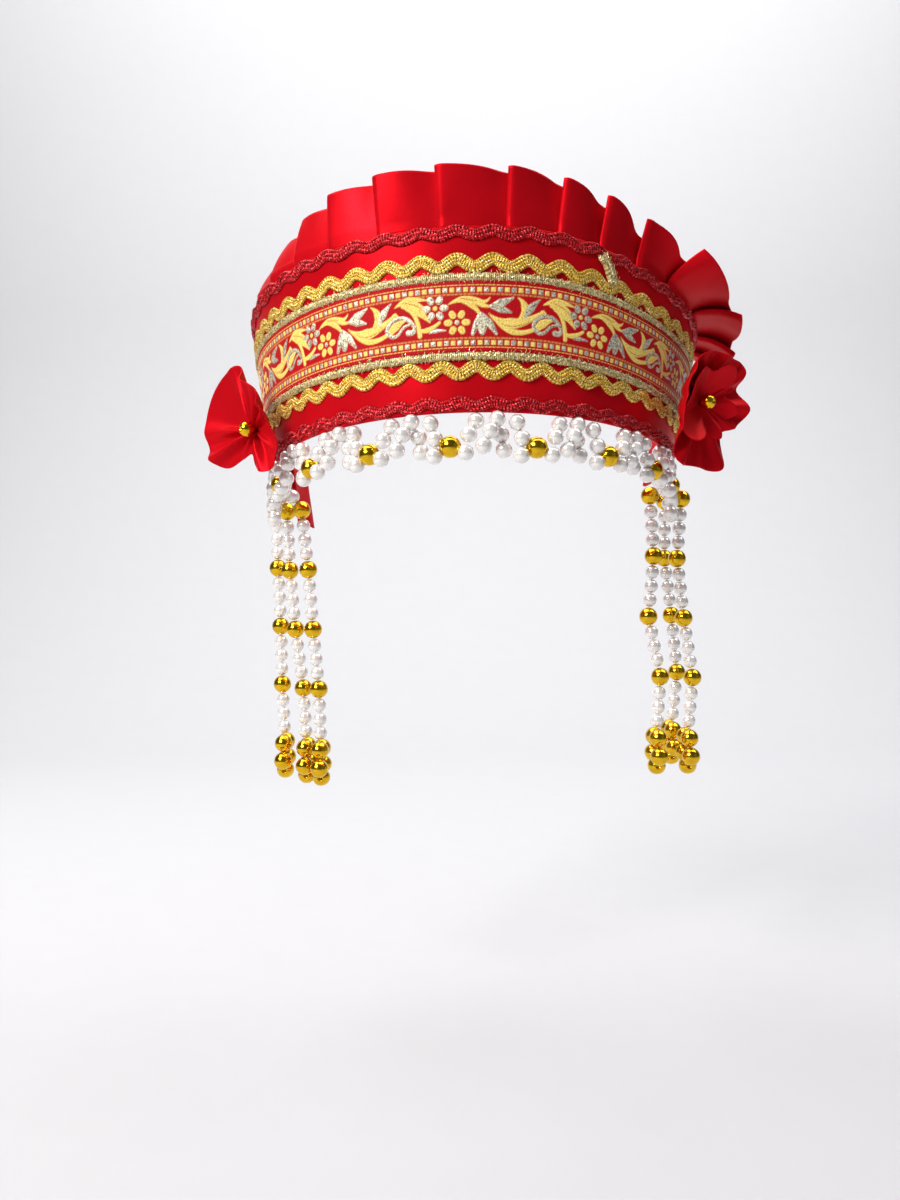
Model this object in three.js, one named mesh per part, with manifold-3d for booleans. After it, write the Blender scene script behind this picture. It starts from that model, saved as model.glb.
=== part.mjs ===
// Kokoshnik: a stiff satin-covered band that stands up round the forehead, trimmed with woven
// ribbon and lurex braid, topped by a pleated ruffle, with a satin rosette over each ear,
// a bead net along the forehead and three hanging bead strands at each temple.
//
// Millimetres and degrees. +Z is up, the front faces -Y, and the origin is the middle of the
// head opening at the level of the lower rim over the ears.
import * as THREE from "three";
import { mergeVertices } from "three/addons/utils/BufferGeometryUtils.js";
import Module from "manifold-3d";

// Space left between neighbouring pieces
const CLEARANCE = 0.3;

// The band is an oval wall of constant slope; angles run from the front, positive towards +X
const BAND = {
  halfWidth: 87,
  halfDepth: 98,
  height: 65,
  wall: 2,
  flare: 8,
  tilt: 6.2,
  endAngle: 106,
  steps: 36,
};

// The band's upper edge is lower and leans out at the +X end
const SAG = { drop: 9.5, spread: 3, fromAngle: 10, fullAngle: 62, fadeAngle: 110, goneAngle: 170 };

// Trims lie on the outer face; heights are measured up the slope from the lower rim
const TRIM_END_ANGLE = 100;
const RIBBON = { low: 20.9, high: 45.6, thick: 1, steps: 32 };
const GOLD_BRAID = { foot: 2.8, swing: 2.8, wave: 4.1, neck: 2.4, thick: 1.2, waves: 28 };
const RED_BRAID = { width: 3.4, swing: 1.6, thick: 1.2, waves: 26 };
const LOWER_RED_LEVEL = 0.2;
const UPPER_RED_LEVEL = 59.8;

// Knife pleats along the upper edge, each fold lying over the tail of the one before
const RUFFLE = {
  pleats: 17,
  pitch: 21.4,
  firstFold: -185.2,
  tuck: 7,
  thick: 1,
  layer: 1.2,
  outerLayer: -0.7,
  lift: 3.2,
  sewn: 3,
};

// The ruffle leans in at the -X end, stands up at the front and falls outwards at the +X end
const RUFFLE_FALL = [
  { angle: -125, lean: -44, height: 18 },
  { angle: -70, lean: -48, height: 18.5 },
  { angle: -58, lean: -45, height: 20 },
  { angle: -46, lean: -33, height: 20 },
  { angle: -33, lean: -15, height: 20 },
  { angle: 30, lean: 0, height: 19.5 },
  { angle: 41, lean: 2, height: 19 },
  { angle: 52, lean: 46, height: 21.5 },
  { angle: 64, lean: 76, height: 22.5 },
  { angle: 76, lean: 96, height: 22.5 },
  { angle: 90, lean: 102, height: 23 },
  { angle: 125, lean: 102, height: 23 },
];

// Gathered satin rosettes over the ears
const ROSETTE = { hubRadius: 6, waist: 4, eyeRadius: 3.4, thick: 1.2, restsOff: 2.4, beadRadius: 3 };
// Hub is how far the gathered middle stands off the band, face how far it turns to the front
const ROSETTE_SEATS = [
  { name: "left", side: -1, angle: 60, height: 8.5, hub: 9.2, face: 22 },
  { name: "right", side: 1, angle: 60, height: 21, hub: 10, face: 28 },
];
// Lobes and folds round each rosette: turn runs from straight up, outwards and down to the front
const PETALS = {
  left: [
    { turn: -10, reach: 16, lift: 4 },
    { turn: 10, reach: 26.5, lift: 2 },
    { turn: 40, reach: 25.5, lift: 3 },
    { turn: 75, reach: 25, lift: 4 },
    { turn: 105, reach: 23, lift: 4 },
    { turn: 130, reach: 20, lift: 3 },
    { turn: 160, reach: 9, lift: 0 },
    { turn: 185, reach: 15, lift: 2 },
    { turn: 206, reach: 18.5, lift: 3 },
    { turn: 232, reach: 17, lift: 3 },
    { turn: 290, reach: 11, lift: 4 },
    { turn: 325, reach: 15, lift: 4 },
  ],
  right: [
    { turn: -8, reach: 17.5, lift: 4 },
    { turn: 20, reach: 20, lift: 5 },
    { turn: 45, reach: 25, lift: 4 },
    { turn: 61, reach: 19, lift: 1 },
    { turn: 90, reach: 22, lift: 5 },
    { turn: 108, reach: 18.5, lift: 3 },
    { turn: 134, reach: 15, lift: 1 },
    { turn: 155, reach: 26, lift: 2 },
    { turn: 178, reach: 26, lift: 1 },
    { turn: 200, reach: 29.5, lift: 2 },
    { turn: 220, reach: 18, lift: 4 },
    { turn: 270, reach: 11, lift: 5 },
    { turn: 320, reach: 13.5, lift: 5 },
  ],
};

// Beads: white pearls and larger gold beads
const PEARL_RADIUS = 3.05;
const GOLD_RADIUS = 4;
const BEAD_SIDES = 10;

// The forehead net repeats a gold bead, a ring of five pearls and a loop of six pearls
const NET = {
  firstGold: -102.5,
  pitch: 31,
  golds: 8,
  goldDrop: 12,
  goldRows: 4,
  ringAlong: 9.4,
  ringDrop: 8.8,
  ringRadius: 5.2,
  ringTube: 3,
  ringPearls: 5,
  loopTube: 3,
  loopSides: 8,
  loopSteps: 5,
};
const NET_LOOP = [
  { along: 17.2, drop: 0.8 },
  { along: 17.6, drop: 7.5 },
  { along: 18.2, drop: 12.6 },
  { along: 21.7, drop: 15.9 },
  { along: 25.2, drop: 12.6 },
  { along: 25.6, drop: 7.5 },
  { along: 25, drop: 0.8 },
];

// Hanging strands: seat is the angle on the rim, x, y and z place the top gold bead, and drift
// is how far the lower end hangs to the side
const STRANDS = [
  { name: "strand_left_1", seat: -93, x: -88.5, y: 5, z: -13.7, drift: 2.5 },
  { name: "strand_left_2", seat: -87, x: -82.5, y: -2, z: -15, drift: 7 },
  { name: "strand_left_3", seat: -81, x: -75, y: -9, z: -15, drift: 7.5 },
  { name: "strand_right_1", seat: 81, x: 77.5, y: -13, z: -11, drift: 0 },
  { name: "strand_right_2", seat: 93.5, x: 89.5, y: 13, z: -11, drift: 0 },
  { name: "strand_right_3", seat: 87, x: 92.5, y: -7, z: -12, drift: 0 },
];
const STRAND = {
  golds: 4,
  pearlsBetween: 3,
  seatDrop: 0.7,
  threadRadius: 0.6,
  threadLength: 3,
  pearlTube: 2.8,
  loopGolds: 5,
  loopTube: 3.6,
  loopNeck: 1.2,
};

// A satin strap runs from end to end round the back of the head, and its tie hangs at one end
const STRAP = {
  fromAngle: 96,
  width: 11,
  thick: 1.2,
  sewnHeight: 54,
  rise: 13,
  risesFrom: 115,
  risesTo: 170,
  steps: 20,
};
const TIE_END = { fromAngle: -112, toAngle: -102, low: -17, high: 10, steps: 2 };

const COLOURS = {
  satin: 0xc8141c,
  ribbon: 0x9c1a22,
  gold: 0xb98a2e,
  redLurex: 0x6e0f1a,
  pearl: 0xf2efe8,
  goldBead: 0xd9a520,
};

const rad = THREE.MathUtils.degToRad;
const lerp = THREE.MathUtils.lerp;
const UP = new THREE.Vector3(0, 0, 1);

// A closed surface gathered corner by corner, turned so that its faces point outwards
class Surface {
  constructor() {
    this.corners = [];
    this.faces = [];
  }

  corner(point) {
    this.corners.push(point);
    return this.corners.length - 1;
  }

  quad(a, b, c, d) {
    this.faces.push([a, b, c], [a, c, d]);
  }

  triangle(a, b, c) {
    this.faces.push([a, b, c]);
  }

  volume() {
    const cross = new THREE.Vector3();
    return this.faces.reduce((sum, [a, b, c]) => {
      cross.crossVectors(this.corners[b], this.corners[c]);
      return sum + this.corners[a].dot(cross) / 6;
    }, 0);
  }

  geometry() {
    const insideOut = this.volume() < 0;
    const order = this.faces.flatMap(([a, b, c]) => (insideOut ? [a, c, b] : [a, b, c]));
    const geometry = new THREE.BufferGeometry().setFromPoints(this.corners);
    geometry.setIndex(order);
    geometry.computeVertexNormals();
    return geometry;
  }
}

// A point on the band: height runs up the slope and out stands off the outer face
function bandPoint(angle, height, out) {
  const turn = rad(angle);
  const slope = rad(BAND.flare);
  const outward = bandOutward(angle);
  const sag = bandSag(angle, height);
  const reach = height * Math.sin(slope) + out * Math.cos(slope) + SAG.spread * sag;
  return new THREE.Vector3(
    BAND.halfWidth * Math.sin(turn) + outward.x * reach,
    -BAND.halfDepth * Math.cos(turn) + outward.y * reach,
    height * Math.cos(slope) - out * Math.sin(slope) - SAG.drop * sag,
  );
}

// Share of the whole sag: none at the lower edge, growing towards the upper edge and the +X end
function bandSag(angle, height) {
  const { fromAngle, fullAngle, fadeAngle, goneAngle } = SAG;
  const onset = THREE.MathUtils.smoothstep(angle, fromAngle, fullAngle);
  const fade = 1 - THREE.MathUtils.smoothstep(angle, fadeAngle, goneAngle);
  return onset * fade * THREE.MathUtils.clamp(height / BAND.height, 0, 1);
}

function bandOutward(angle) {
  const turn = rad(angle);
  const outward = new THREE.Vector3(Math.sin(turn) / BAND.halfWidth, -Math.cos(turn) / BAND.halfDepth, 0);
  return outward.normalize();
}

// The untilted band frame seen from the frame of the whole part
function tilted(point) {
  return point.clone().applyAxisAngle(new THREE.Vector3(1, 0, 0), -rad(BAND.tilt));
}

// Turns a distance along the band, from the front, into an angle
function angleAlong(height) {
  const stepAngle = 0.5;
  const lastAngle = 125;
  const marks = [{ arc: 0, angle: 0 }];
  let before = bandPoint(0, height, 0);
  for (let angle = stepAngle; angle <= lastAngle; angle += stepAngle) {
    const here = bandPoint(angle, height, 0);
    marks.push({ arc: marks.at(-1).arc + here.distanceTo(before), angle });
    before = here;
  }
  return (arc) => {
    const distance = Math.abs(arc);
    const next = marks.findIndex((mark) => mark.arc > distance);
    const [low, high] = [marks[next - 1], marks[next]];
    const share = (distance - low.arc) / (high.arc - low.arc);
    return Math.sign(arc) * lerp(low.angle, high.angle, share);
  };
}

function arcAt(angle, height) {
  const alongAngle = angleAlong(height);
  let low = 0;
  let high = 200;
  while (high - low > 0.01) {
    const middle = (low + high) / 2;
    if (alongAngle(middle) < angle) {
      low = middle;
    } else {
      high = middle;
    }
  }
  return low;
}

// A flat strip with thickness: each section lists its outer and inner points from low to high
function ribbonSolid(sections) {
  const surface = new Surface();
  const loops = sections.map(({ outer, inner }) =>
    [...outer, ...inner.toReversed()].map((point) => surface.corner(point)),
  );
  const count = loops[0].length;
  for (let i = 0; i + 1 < loops.length; i += 1) {
    for (let j = 0; j < count; j += 1) {
      const k = (j + 1) % count;
      surface.quad(loops[i][j], loops[i + 1][j], loops[i + 1][k], loops[i][k]);
    }
  }
  for (let j = 0; j < count / 2 - 1; j += 1) {
    const [first, last] = [loops[0], loops.at(-1)];
    const far = count - 1 - j;
    surface.quad(first[j], first[j + 1], first[far - 1], first[far]);
    surface.quad(last[far], last[far - 1], last[j + 1], last[j]);
  }
  return surface.geometry();
}

// A strip that follows the band between two heights
function bandStrip(fromAngle, toAngle, steps, edges, nearOut, farOut) {
  const sections = Array.from({ length: steps + 1 }, (_, i) => {
    const angle = lerp(fromAngle, toAngle, i / steps);
    const heights = edges(angle);
    return {
      outer: heights.map((height) => bandPoint(angle, height, farOut)),
      inner: heights.map((height) => bandPoint(angle, height, nearOut)),
    };
  });
  return ribbonSolid(sections);
}

function crownBand() {
  const edges = () => [0, BAND.height];
  return bandStrip(-BAND.endAngle, BAND.endAngle, BAND.steps, edges, -BAND.wall, 0);
}

function jacquardRibbon() {
  const edges = () => [RIBBON.low, RIBBON.high];
  const outside = CLEARANCE + RIBBON.thick;
  return bandStrip(-TRIM_END_ANGLE, TRIM_END_ANGLE, RIBBON.steps, edges, CLEARANCE, outside);
}

function redBraid(level) {
  const middle = level + (RED_BRAID.width + RED_BRAID.swing) / 2;
  const reach = arcAt(TRIM_END_ANGLE, middle);
  const toAngle = angleAlong(middle);
  const turns = RED_BRAID.waves * 2;
  const sections = Array.from({ length: turns + 1 }, (_, i) => {
    const angle = toAngle(lerp(-reach, reach, i / turns));
    const low = level + (i % 2) * RED_BRAID.swing;
    const heights = [low, low + RED_BRAID.width];
    return {
      outer: heights.map((height) => bandPoint(angle, height, CLEARANCE + RED_BRAID.thick)),
      inner: heights.map((height) => bandPoint(angle, height, CLEARANCE)),
    };
  });
  return ribbonSolid(sections);
}

// Gold braid: a straight foot beside the ribbon and a wave whose crests leave open eyelets
function goldBraid(footEdge, direction) {
  const { foot, swing, wave, neck, thick, waves } = GOLD_BRAID;
  const surface = new Surface();
  const middle = footEdge + direction * foot;
  const reach = arcAt(TRIM_END_ANGLE, middle);
  const toAngle = angleAlong(middle);
  const pitch = (2 * reach) / waves;
  const column = (arc, open) => {
    const angle = toAngle(arc);
    const marks = open ? [0, foot, foot + swing, foot + swing + wave] : [0, foot, foot + wave];
    const layer = (out) => {
      const ids = marks.map((mark) => surface.corner(bandPoint(angle, footEdge + direction * mark, out)));
      return open ? ids : [ids[0], ids[1], ids[1], ids[2]];
    };
    return { open, front: layer(CLEARANCE + thick), back: layer(CLEARANCE) };
  };
  const columns = [];
  for (let i = 0; i < waves; i += 1) {
    const start = -reach + i * pitch;
    columns.push(column(start + neck / 2, false));
    columns.push(column(start + pitch / 2, true));
    columns.push(column(start + pitch - neck / 2, false));
  }
  for (let i = 0; i + 1 < columns.length; i += 1) {
    const [a, b] = [columns[i], columns[i + 1]];
    for (const edge of [0, 2]) {
      surface.quad(a.front[edge], b.front[edge], b.front[edge + 1], a.front[edge + 1]);
      surface.quad(a.back[edge], a.back[edge + 1], b.back[edge + 1], b.back[edge]);
    }
    surface.quad(a.front[0], a.back[0], b.back[0], b.front[0]);
    surface.quad(a.front[3], b.front[3], b.back[3], a.back[3]);
    if (a.open || b.open) {
      surface.quad(a.front[1], b.front[1], b.back[1], a.back[1]);
      surface.quad(a.front[2], a.back[2], b.back[2], b.front[2]);
    }
  }
  const [first, last] = [columns[0], columns.at(-1)];
  for (const edge of [0, 2]) {
    surface.quad(first.front[edge], first.front[edge + 1], first.back[edge + 1], first.back[edge]);
    surface.quad(last.front[edge], last.back[edge], last.back[edge + 1], last.front[edge + 1]);
  }
  return surface.geometry();
}

function ruffleFall(angle) {
  const next = RUFFLE_FALL.findIndex((row) => row.angle > angle);
  const [low, high] = [RUFFLE_FALL[next - 1], RUFFLE_FALL[next]];
  const share = (angle - low.angle) / (high.angle - low.angle);
  return { lean: rad(lerp(low.lean, high.lean, share)), height: lerp(low.height, high.height, share) };
}

// A point on the ruffle: its sewn foot, or its free edge, with out crossing the layers of cloth
function rufflePoint(angle, sewn, free, out) {
  const base = bandPoint(angle, BAND.height + CLEARANCE, 0);
  const rise = bandPoint(angle, 1, 0).sub(bandPoint(angle, 0, 0));
  const outward = bandPoint(angle, 0, 1).sub(bandPoint(angle, 0, 0));
  const fall = ruffleFall(angle);
  const lean = free * fall.lean;
  const length = free * (fall.height - RUFFLE.sewn);
  const climb = sewn + length * Math.cos(lean) - out * Math.sin(lean);
  const stand = length * Math.sin(lean) + out * Math.cos(lean);
  return base.addScaledVector(rise, climb).addScaledVector(outward, stand);
}

// The path of the pleated cloth seen from above, as distance along the band and layer
function pleatPath(opening) {
  const { pleats, pitch, firstFold, tuck, layer, outerLayer, lift } = RUFFLE;
  const outer = outerLayer + lift * opening;
  const inner = outerLayer - 2 * layer;
  const shoulder = lerp(outer, inner, (opening * tuck) / pitch);
  const path = [];
  for (let i = 0; i < pleats; i += 1) {
    const fold = firstFold + i * pitch;
    const next = fold + pitch;
    path.push(new THREE.Vector2(fold, outer));
    path.push(new THREE.Vector2(fold + tuck, shoulder));
    path.push(new THREE.Vector2(next - layer, inner));
    if (i + 1 < pleats) {
      path.push(new THREE.Vector2(next + tuck, inner));
      path.push(new THREE.Vector2(next + tuck, inner + layer));
      path.push(new THREE.Vector2(next, outer - layer));
    }
  }
  return path;
}

// The path moved sideways by half the cloth's thickness, with mitred corners
function offsetPath(path, distance) {
  return path.map((point, i) => {
    const before = path[Math.max(i - 1, 0)];
    const after = path[Math.min(i + 1, path.length - 1)];
    const arriving = (i > 0 ? point.clone().sub(before) : after.clone().sub(point)).normalize();
    const leaving = (after === point ? arriving.clone() : after.clone().sub(point)).normalize();
    const across = new THREE.Vector2(-arriving.y - leaving.y, arriving.x + leaving.x).normalize();
    const reach = distance / across.dot(new THREE.Vector2(-arriving.y, arriving.x));
    return point.clone().addScaledVector(across, reach);
  });
}

function pleatedRuffle() {
  const rows = [
    { sewn: 0, free: 0 },
    { sewn: RUFFLE.sewn, free: 0 },
    { sewn: RUFFLE.sewn, free: 1 },
  ];
  const toAngle = angleAlong(BAND.height);
  const side = (distance) =>
    rows.map(({ sewn, free }) => {
      const path = offsetPath(pleatPath(free), distance);
      return path.map((mark) => rufflePoint(toAngle(mark.x), sewn, free, mark.y));
    });
  const outside = side(RUFFLE.thick / 2);
  const inside = side(-RUFFLE.thick / 2);
  const sections = outside[0].map((_, i) => ({
    outer: outside.map((row) => row[i]),
    inner: inside.map((row) => row[i]),
  }));
  return ribbonSolid(sections);
}

// A gathered rosette in its own frame: X is towards the back, Y is up and Z stands off the band.
// Its middle turns to the front, and the petals that would enter the band lie on it instead.
function rosette({ name, side, hub, face }) {
  const { hubRadius, waist, eyeRadius, thick, restsOff } = ROSETTE;
  const turnOut = rad(face);
  const halfway = 0.55;
  const turned = (turn, radius, stand, lowest) => {
    const back = radius * Math.sin(rad(turn));
    const off = hub + back * Math.sin(turnOut) + stand * Math.cos(turnOut);
    const along = back * Math.cos(turnOut) - stand * Math.sin(turnOut);
    return new THREE.Vector3(side * along, radius * Math.cos(rad(turn)), Math.max(off, lowest));
  };
  const cloth = (share, rise) => ({ turn, reach, lift }) =>
    turned(turn, lerp(waist, reach, share), lift * share * share + rise, restsOff + rise + share);
  const seat = ({ turn }) =>
    new THREE.Vector3(side * hubRadius * Math.sin(rad(turn)), hubRadius * Math.cos(rad(turn)), 0);
  const eyeEdge = ({ turn }) => turned(turn, eyeRadius, thick, restsOff);
  const rings = [
    seat,
    cloth(0, 0),
    cloth(halfway, 0),
    cloth(1, 0),
    cloth(1, thick),
    cloth(halfway, thick),
    eyeEdge,
  ];
  const columns = PETALS[name];
  const surface = new Surface();
  const loops = rings.map((ring) => columns.map((column) => surface.corner(ring(column))));
  const base = surface.corner(new THREE.Vector3(0, 0, 0));
  const eye = surface.corner(turned(0, 0, thick, restsOff));
  columns.forEach((_, j) => {
    const k = (j + 1) % columns.length;
    for (let i = 0; i + 1 < loops.length; i += 1) {
      surface.quad(loops[i][j], loops[i][k], loops[i + 1][k], loops[i + 1][j]);
    }
    surface.triangle(base, loops[0][k], loops[0][j]);
    surface.triangle(eye, loops.at(-1)[j], loops.at(-1)[k]);
  });
  return surface.geometry();
}

// Where a rosette sits on the trims, how it is turned, and the middle of the bead on its eye
function rosetteFrame({ side, angle, height, hub, face }) {
  const at = bandPoint(side * angle, height, GOLD_BRAID.thick + 2 * CLEARANCE);
  const rise = bandPoint(side * angle, 1, 0).sub(bandPoint(side * angle, 0, 0)).normalize();
  const along = new THREE.Vector3().crossVectors(rise, bandOutward(side * angle)).normalize();
  const outward = new THREE.Vector3().crossVectors(along, rise);
  const basis = new THREE.Matrix4().makeBasis(along, rise, outward);
  const turn = new THREE.Quaternion().setFromRotationMatrix(basis);
  const stand = ROSETTE.thick + CLEARANCE + ROSETTE.beadRadius;
  const bead = at.clone().addScaledVector(outward, hub + stand * Math.cos(rad(face)));
  bead.addScaledVector(along, -side * stand * Math.sin(rad(face)));
  return { at, turn, bead };
}

// A string of beads: a round cord whose radius follows the beads threaded on it
function beadString(stations) {
  const surface = new Surface();
  const across = new THREE.Vector3(1, 0, 0);
  const loops = stations.map(({ at, radius }, i) => {
    const before = stations[Math.max(i - 1, 0)].at;
    const after = stations[Math.min(i + 1, stations.length - 1)].at;
    const along = after.clone().sub(before).normalize();
    const wide = across.clone().addScaledVector(along, -across.dot(along)).normalize();
    const deep = new THREE.Vector3().crossVectors(along, wide);
    return Array.from({ length: BEAD_SIDES }, (_, j) => {
      const turn = (2 * Math.PI * j) / BEAD_SIDES;
      const corner = at.clone().addScaledVector(wide, radius * Math.cos(turn));
      return surface.corner(corner.addScaledVector(deep, radius * Math.sin(turn)));
    });
  });
  const top = surface.corner(stations[0].at);
  const bottom = surface.corner(stations.at(-1).at);
  for (let j = 0; j < BEAD_SIDES; j += 1) {
    const k = (j + 1) % BEAD_SIDES;
    for (let i = 0; i + 1 < loops.length; i += 1) {
      surface.quad(loops[i][j], loops[i][k], loops[i + 1][k], loops[i + 1][j]);
    }
    surface.triangle(top, loops[0][k], loops[0][j]);
    surface.triangle(bottom, loops.at(-1)[j], loops.at(-1)[k]);
  }
  return surface.geometry();
}

// One strand: a run of pearls from the rim, then gold beads and pearl runs down to a gold loop
function strand({ seat, x, y, z, drift }) {
  const { golds, pearlsBetween, seatDrop, threadRadius, threadLength } = STRAND;
  const { pearlTube, loopGolds, loopTube, loopNeck } = STRAND;
  const run = pearlsBetween * 2 * PEARL_RADIUS;
  const pitch = run + 2 * GOLD_RADIUS;
  const rim = tilted(bandPoint(seat, 0, -BAND.wall / 2)).addScaledVector(UP, -seatDrop);
  const top = new THREE.Vector3(x, y, z);
  const down = new THREE.Vector3(drift, 0, -golds * pitch).normalize();
  const slant = top.clone().sub(rim).normalize();
  const shoulder = 0.8 * GOLD_RADIUS;
  const stations = [
    { at: rim, radius: threadRadius },
    { at: rim.clone().addScaledVector(slant, threadLength), radius: pearlTube },
    { at: top.clone().addScaledVector(slant, -GOLD_RADIUS - threadRadius), radius: pearlTube },
  ];
  for (let i = 0; i < golds; i += 1) {
    const below = (distance) => top.clone().addScaledVector(down, i * pitch + distance);
    stations.push({ at: below(-shoulder), radius: 0.6 * GOLD_RADIUS });
    stations.push({ at: below(0), radius: GOLD_RADIUS });
    stations.push({ at: below(shoulder), radius: 0.6 * GOLD_RADIUS });
    stations.push({ at: below(GOLD_RADIUS + threadRadius), radius: pearlTube });
    stations.push({ at: below(GOLD_RADIUS + run - threadRadius), radius: pearlTube });
  }
  const end = top.clone().addScaledVector(down, golds * pitch - GOLD_RADIUS);
  const stepTurn = 360 / loopGolds;
  const loopRadius = GOLD_RADIUS / Math.sin(rad(stepTurn / 2));
  const loopDrop = loopRadius * Math.cos(rad(stepTurn / 2)) + GOLD_RADIUS;
  const around = (turn) =>
    new THREE.Vector3(
      end.x,
      end.y - loopRadius * Math.sin(rad(turn)),
      end.z - loopDrop + loopRadius * Math.cos(rad(turn)),
    );
  stations.push({ at: end, radius: loopNeck });
  for (let i = 0; i < loopGolds; i += 1) {
    stations.push({ at: around((i + 0.5) * stepTurn), radius: loopTube });
  }
  const closingTurn = 345;
  stations.push({ at: around(closingTurn), radius: loopNeck });
  return beadString(stations);
}

// Booleans join the net's beads into one body
const wasm = await Module();
wasm.setup();

function toManifold(geometry) {
  const bare = geometry.clone();
  bare.deleteAttribute("normal");
  bare.deleteAttribute("uv");
  const merged = mergeVertices(bare, 1e-4);
  const vertProperties = new Float32Array(merged.attributes.position.array);
  const triVerts = new Uint32Array(merged.index.array);
  return new wasm.Manifold(new wasm.Mesh({ numProp: 3, vertProperties, triVerts }));
}

function fromManifold(solid) {
  const { vertProperties, triVerts } = solid.getMesh();
  const geometry = new THREE.BufferGeometry();
  geometry.setAttribute("position", new THREE.BufferAttribute(vertProperties, 3));
  geometry.setIndex(new THREE.BufferAttribute(triVerts, 1));
  geometry.computeVertexNormals();
  return geometry;
}

// A point of the net, hanging straight down from the middle of the rim
function netPoint(angle, drop) {
  return tilted(bandPoint(angle, 0, -BAND.wall / 2)).addScaledVector(UP, -drop);
}

function netRing(angle) {
  const ring = new THREE.TorusGeometry(NET.ringRadius, NET.ringTube, NET.loopSides, NET.ringPearls);
  const outward = bandOutward(angle);
  const along = new THREE.Vector3().crossVectors(UP, outward);
  ring.rotateZ(Math.PI / 2);
  ring.applyMatrix4(new THREE.Matrix4().makeBasis(along, UP, outward));
  const at = netPoint(angle, NET.ringDrop);
  return ring.translate(at.x, at.y, at.z);
}

function netLoop(start, toAngle) {
  const points = NET_LOOP.map(({ along, drop }) => netPoint(toAngle(start + along), drop));
  const section = new THREE.Shape();
  for (let j = 0; j < NET.loopSides; j += 1) {
    const turn = (2 * Math.PI * j) / NET.loopSides;
    const corner = [NET.loopTube * Math.cos(turn), NET.loopTube * Math.sin(turn)];
    if (j === 0) {
      section.moveTo(...corner);
    } else {
      section.lineTo(...corner);
    }
  }
  section.closePath();
  const extrudePath = new THREE.CatmullRomCurve3(points);
  return new THREE.ExtrudeGeometry(section, { extrudePath, steps: NET.loopSteps });
}

function beadNet() {
  const toAngle = angleAlong(0);
  const pieces = [netLoop(NET.firstGold - NET.pitch, toAngle)];
  for (let i = 0; i < NET.golds; i += 1) {
    const start = NET.firstGold + i * NET.pitch;
    const at = netPoint(toAngle(start), NET.goldDrop);
    const gold = new THREE.SphereGeometry(GOLD_RADIUS, BEAD_SIDES, NET.goldRows);
    pieces.push(gold.translate(at.x, at.y, at.z));
    if (i + 1 < NET.golds) {
      pieces.push(netRing(toAngle(start + NET.ringAlong)));
      pieces.push(netLoop(start, toAngle));
    }
  }
  const solids = pieces.map(toManifold);
  return fromManifold(solids.reduce((whole, solid) => whole.add(solid)));
}

function backStrap() {
  const { fromAngle, width, thick, sewnHeight, rise, risesFrom, risesTo, steps } = STRAP;
  const edges = (angle) => {
    const turn = 180 - Math.abs(angle - 180);
    const middle = sewnHeight + rise * THREE.MathUtils.smoothstep(turn, risesFrom, risesTo);
    return [middle - width / 2, middle + width / 2];
  };
  const outside = -BAND.wall - CLEARANCE;
  return bandStrip(fromAngle, 360 - fromAngle, steps, edges, outside - thick, outside);
}

function tieEnd() {
  const { fromAngle, toAngle, low, high, steps } = TIE_END;
  const outside = -BAND.wall - CLEARANCE;
  return bandStrip(fromAngle, toAngle, steps, () => [low, high], outside - STRAP.thick, outside);
}

function piece(name, geometry, color, roughness, metalness) {
  const mesh = new THREE.Mesh(geometry, new THREE.MeshStandardMaterial({ color, roughness, metalness }));
  mesh.name = name;
  return mesh;
}

const crown = new THREE.Group();
crown.rotation.x = -rad(BAND.tilt);
crown.add(
  piece("crown_band", crownBand(), COLOURS.satin, 0.45, 0),
  piece("jacquard_ribbon", jacquardRibbon(), COLOURS.ribbon, 0.6, 0),
  piece("upper_gold_braid", goldBraid(RIBBON.high + CLEARANCE, 1), COLOURS.gold, 0.4, 0.7),
  piece("lower_gold_braid", goldBraid(RIBBON.low - CLEARANCE, -1), COLOURS.gold, 0.4, 0.7),
  piece("upper_red_braid", redBraid(UPPER_RED_LEVEL), COLOURS.redLurex, 0.5, 0.4),
  piece("lower_red_braid", redBraid(LOWER_RED_LEVEL), COLOURS.redLurex, 0.5, 0.4),
  piece("pleated_ruffle", pleatedRuffle(), COLOURS.satin, 0.4, 0),
  piece("back_strap", backStrap(), COLOURS.satin, 0.45, 0),
  piece("tie_end", tieEnd(), COLOURS.satin, 0.45, 0),
);
for (const seat of ROSETTE_SEATS) {
  const { at, turn, bead } = rosetteFrame(seat);
  const flower = piece(`${seat.name}_rosette`, rosette(seat), COLOURS.satin, 0.4, 0);
  flower.position.copy(at);
  flower.quaternion.copy(turn);
  const ball = new THREE.SphereGeometry(ROSETTE.beadRadius, BEAD_SIDES, BEAD_SIDES / 2);
  const eye = piece(`${seat.name}_rosette_bead`, ball, COLOURS.goldBead, 0.25, 1);
  eye.position.copy(bead);
  crown.add(flower, eye);
}

const kokoshnik = new THREE.Group();
kokoshnik.add(crown);
kokoshnik.add(piece("bead_net", beadNet(), COLOURS.pearl, 0.3, 0));
for (const row of STRANDS) {
  kokoshnik.add(piece(row.name, strand(row), COLOURS.pearl, 0.3, 0));
}

export default kokoshnik;
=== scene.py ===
"""A kokoshnik: a stiff red satin band with woven ribbon, lurex braid, pleats, rosettes and beads."""

import math

import bpy
import numpy as np
from bpy.props import FloatProperty, FloatVectorProperty, IntProperty, PointerProperty
from mathutils import Matrix, Vector


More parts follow.
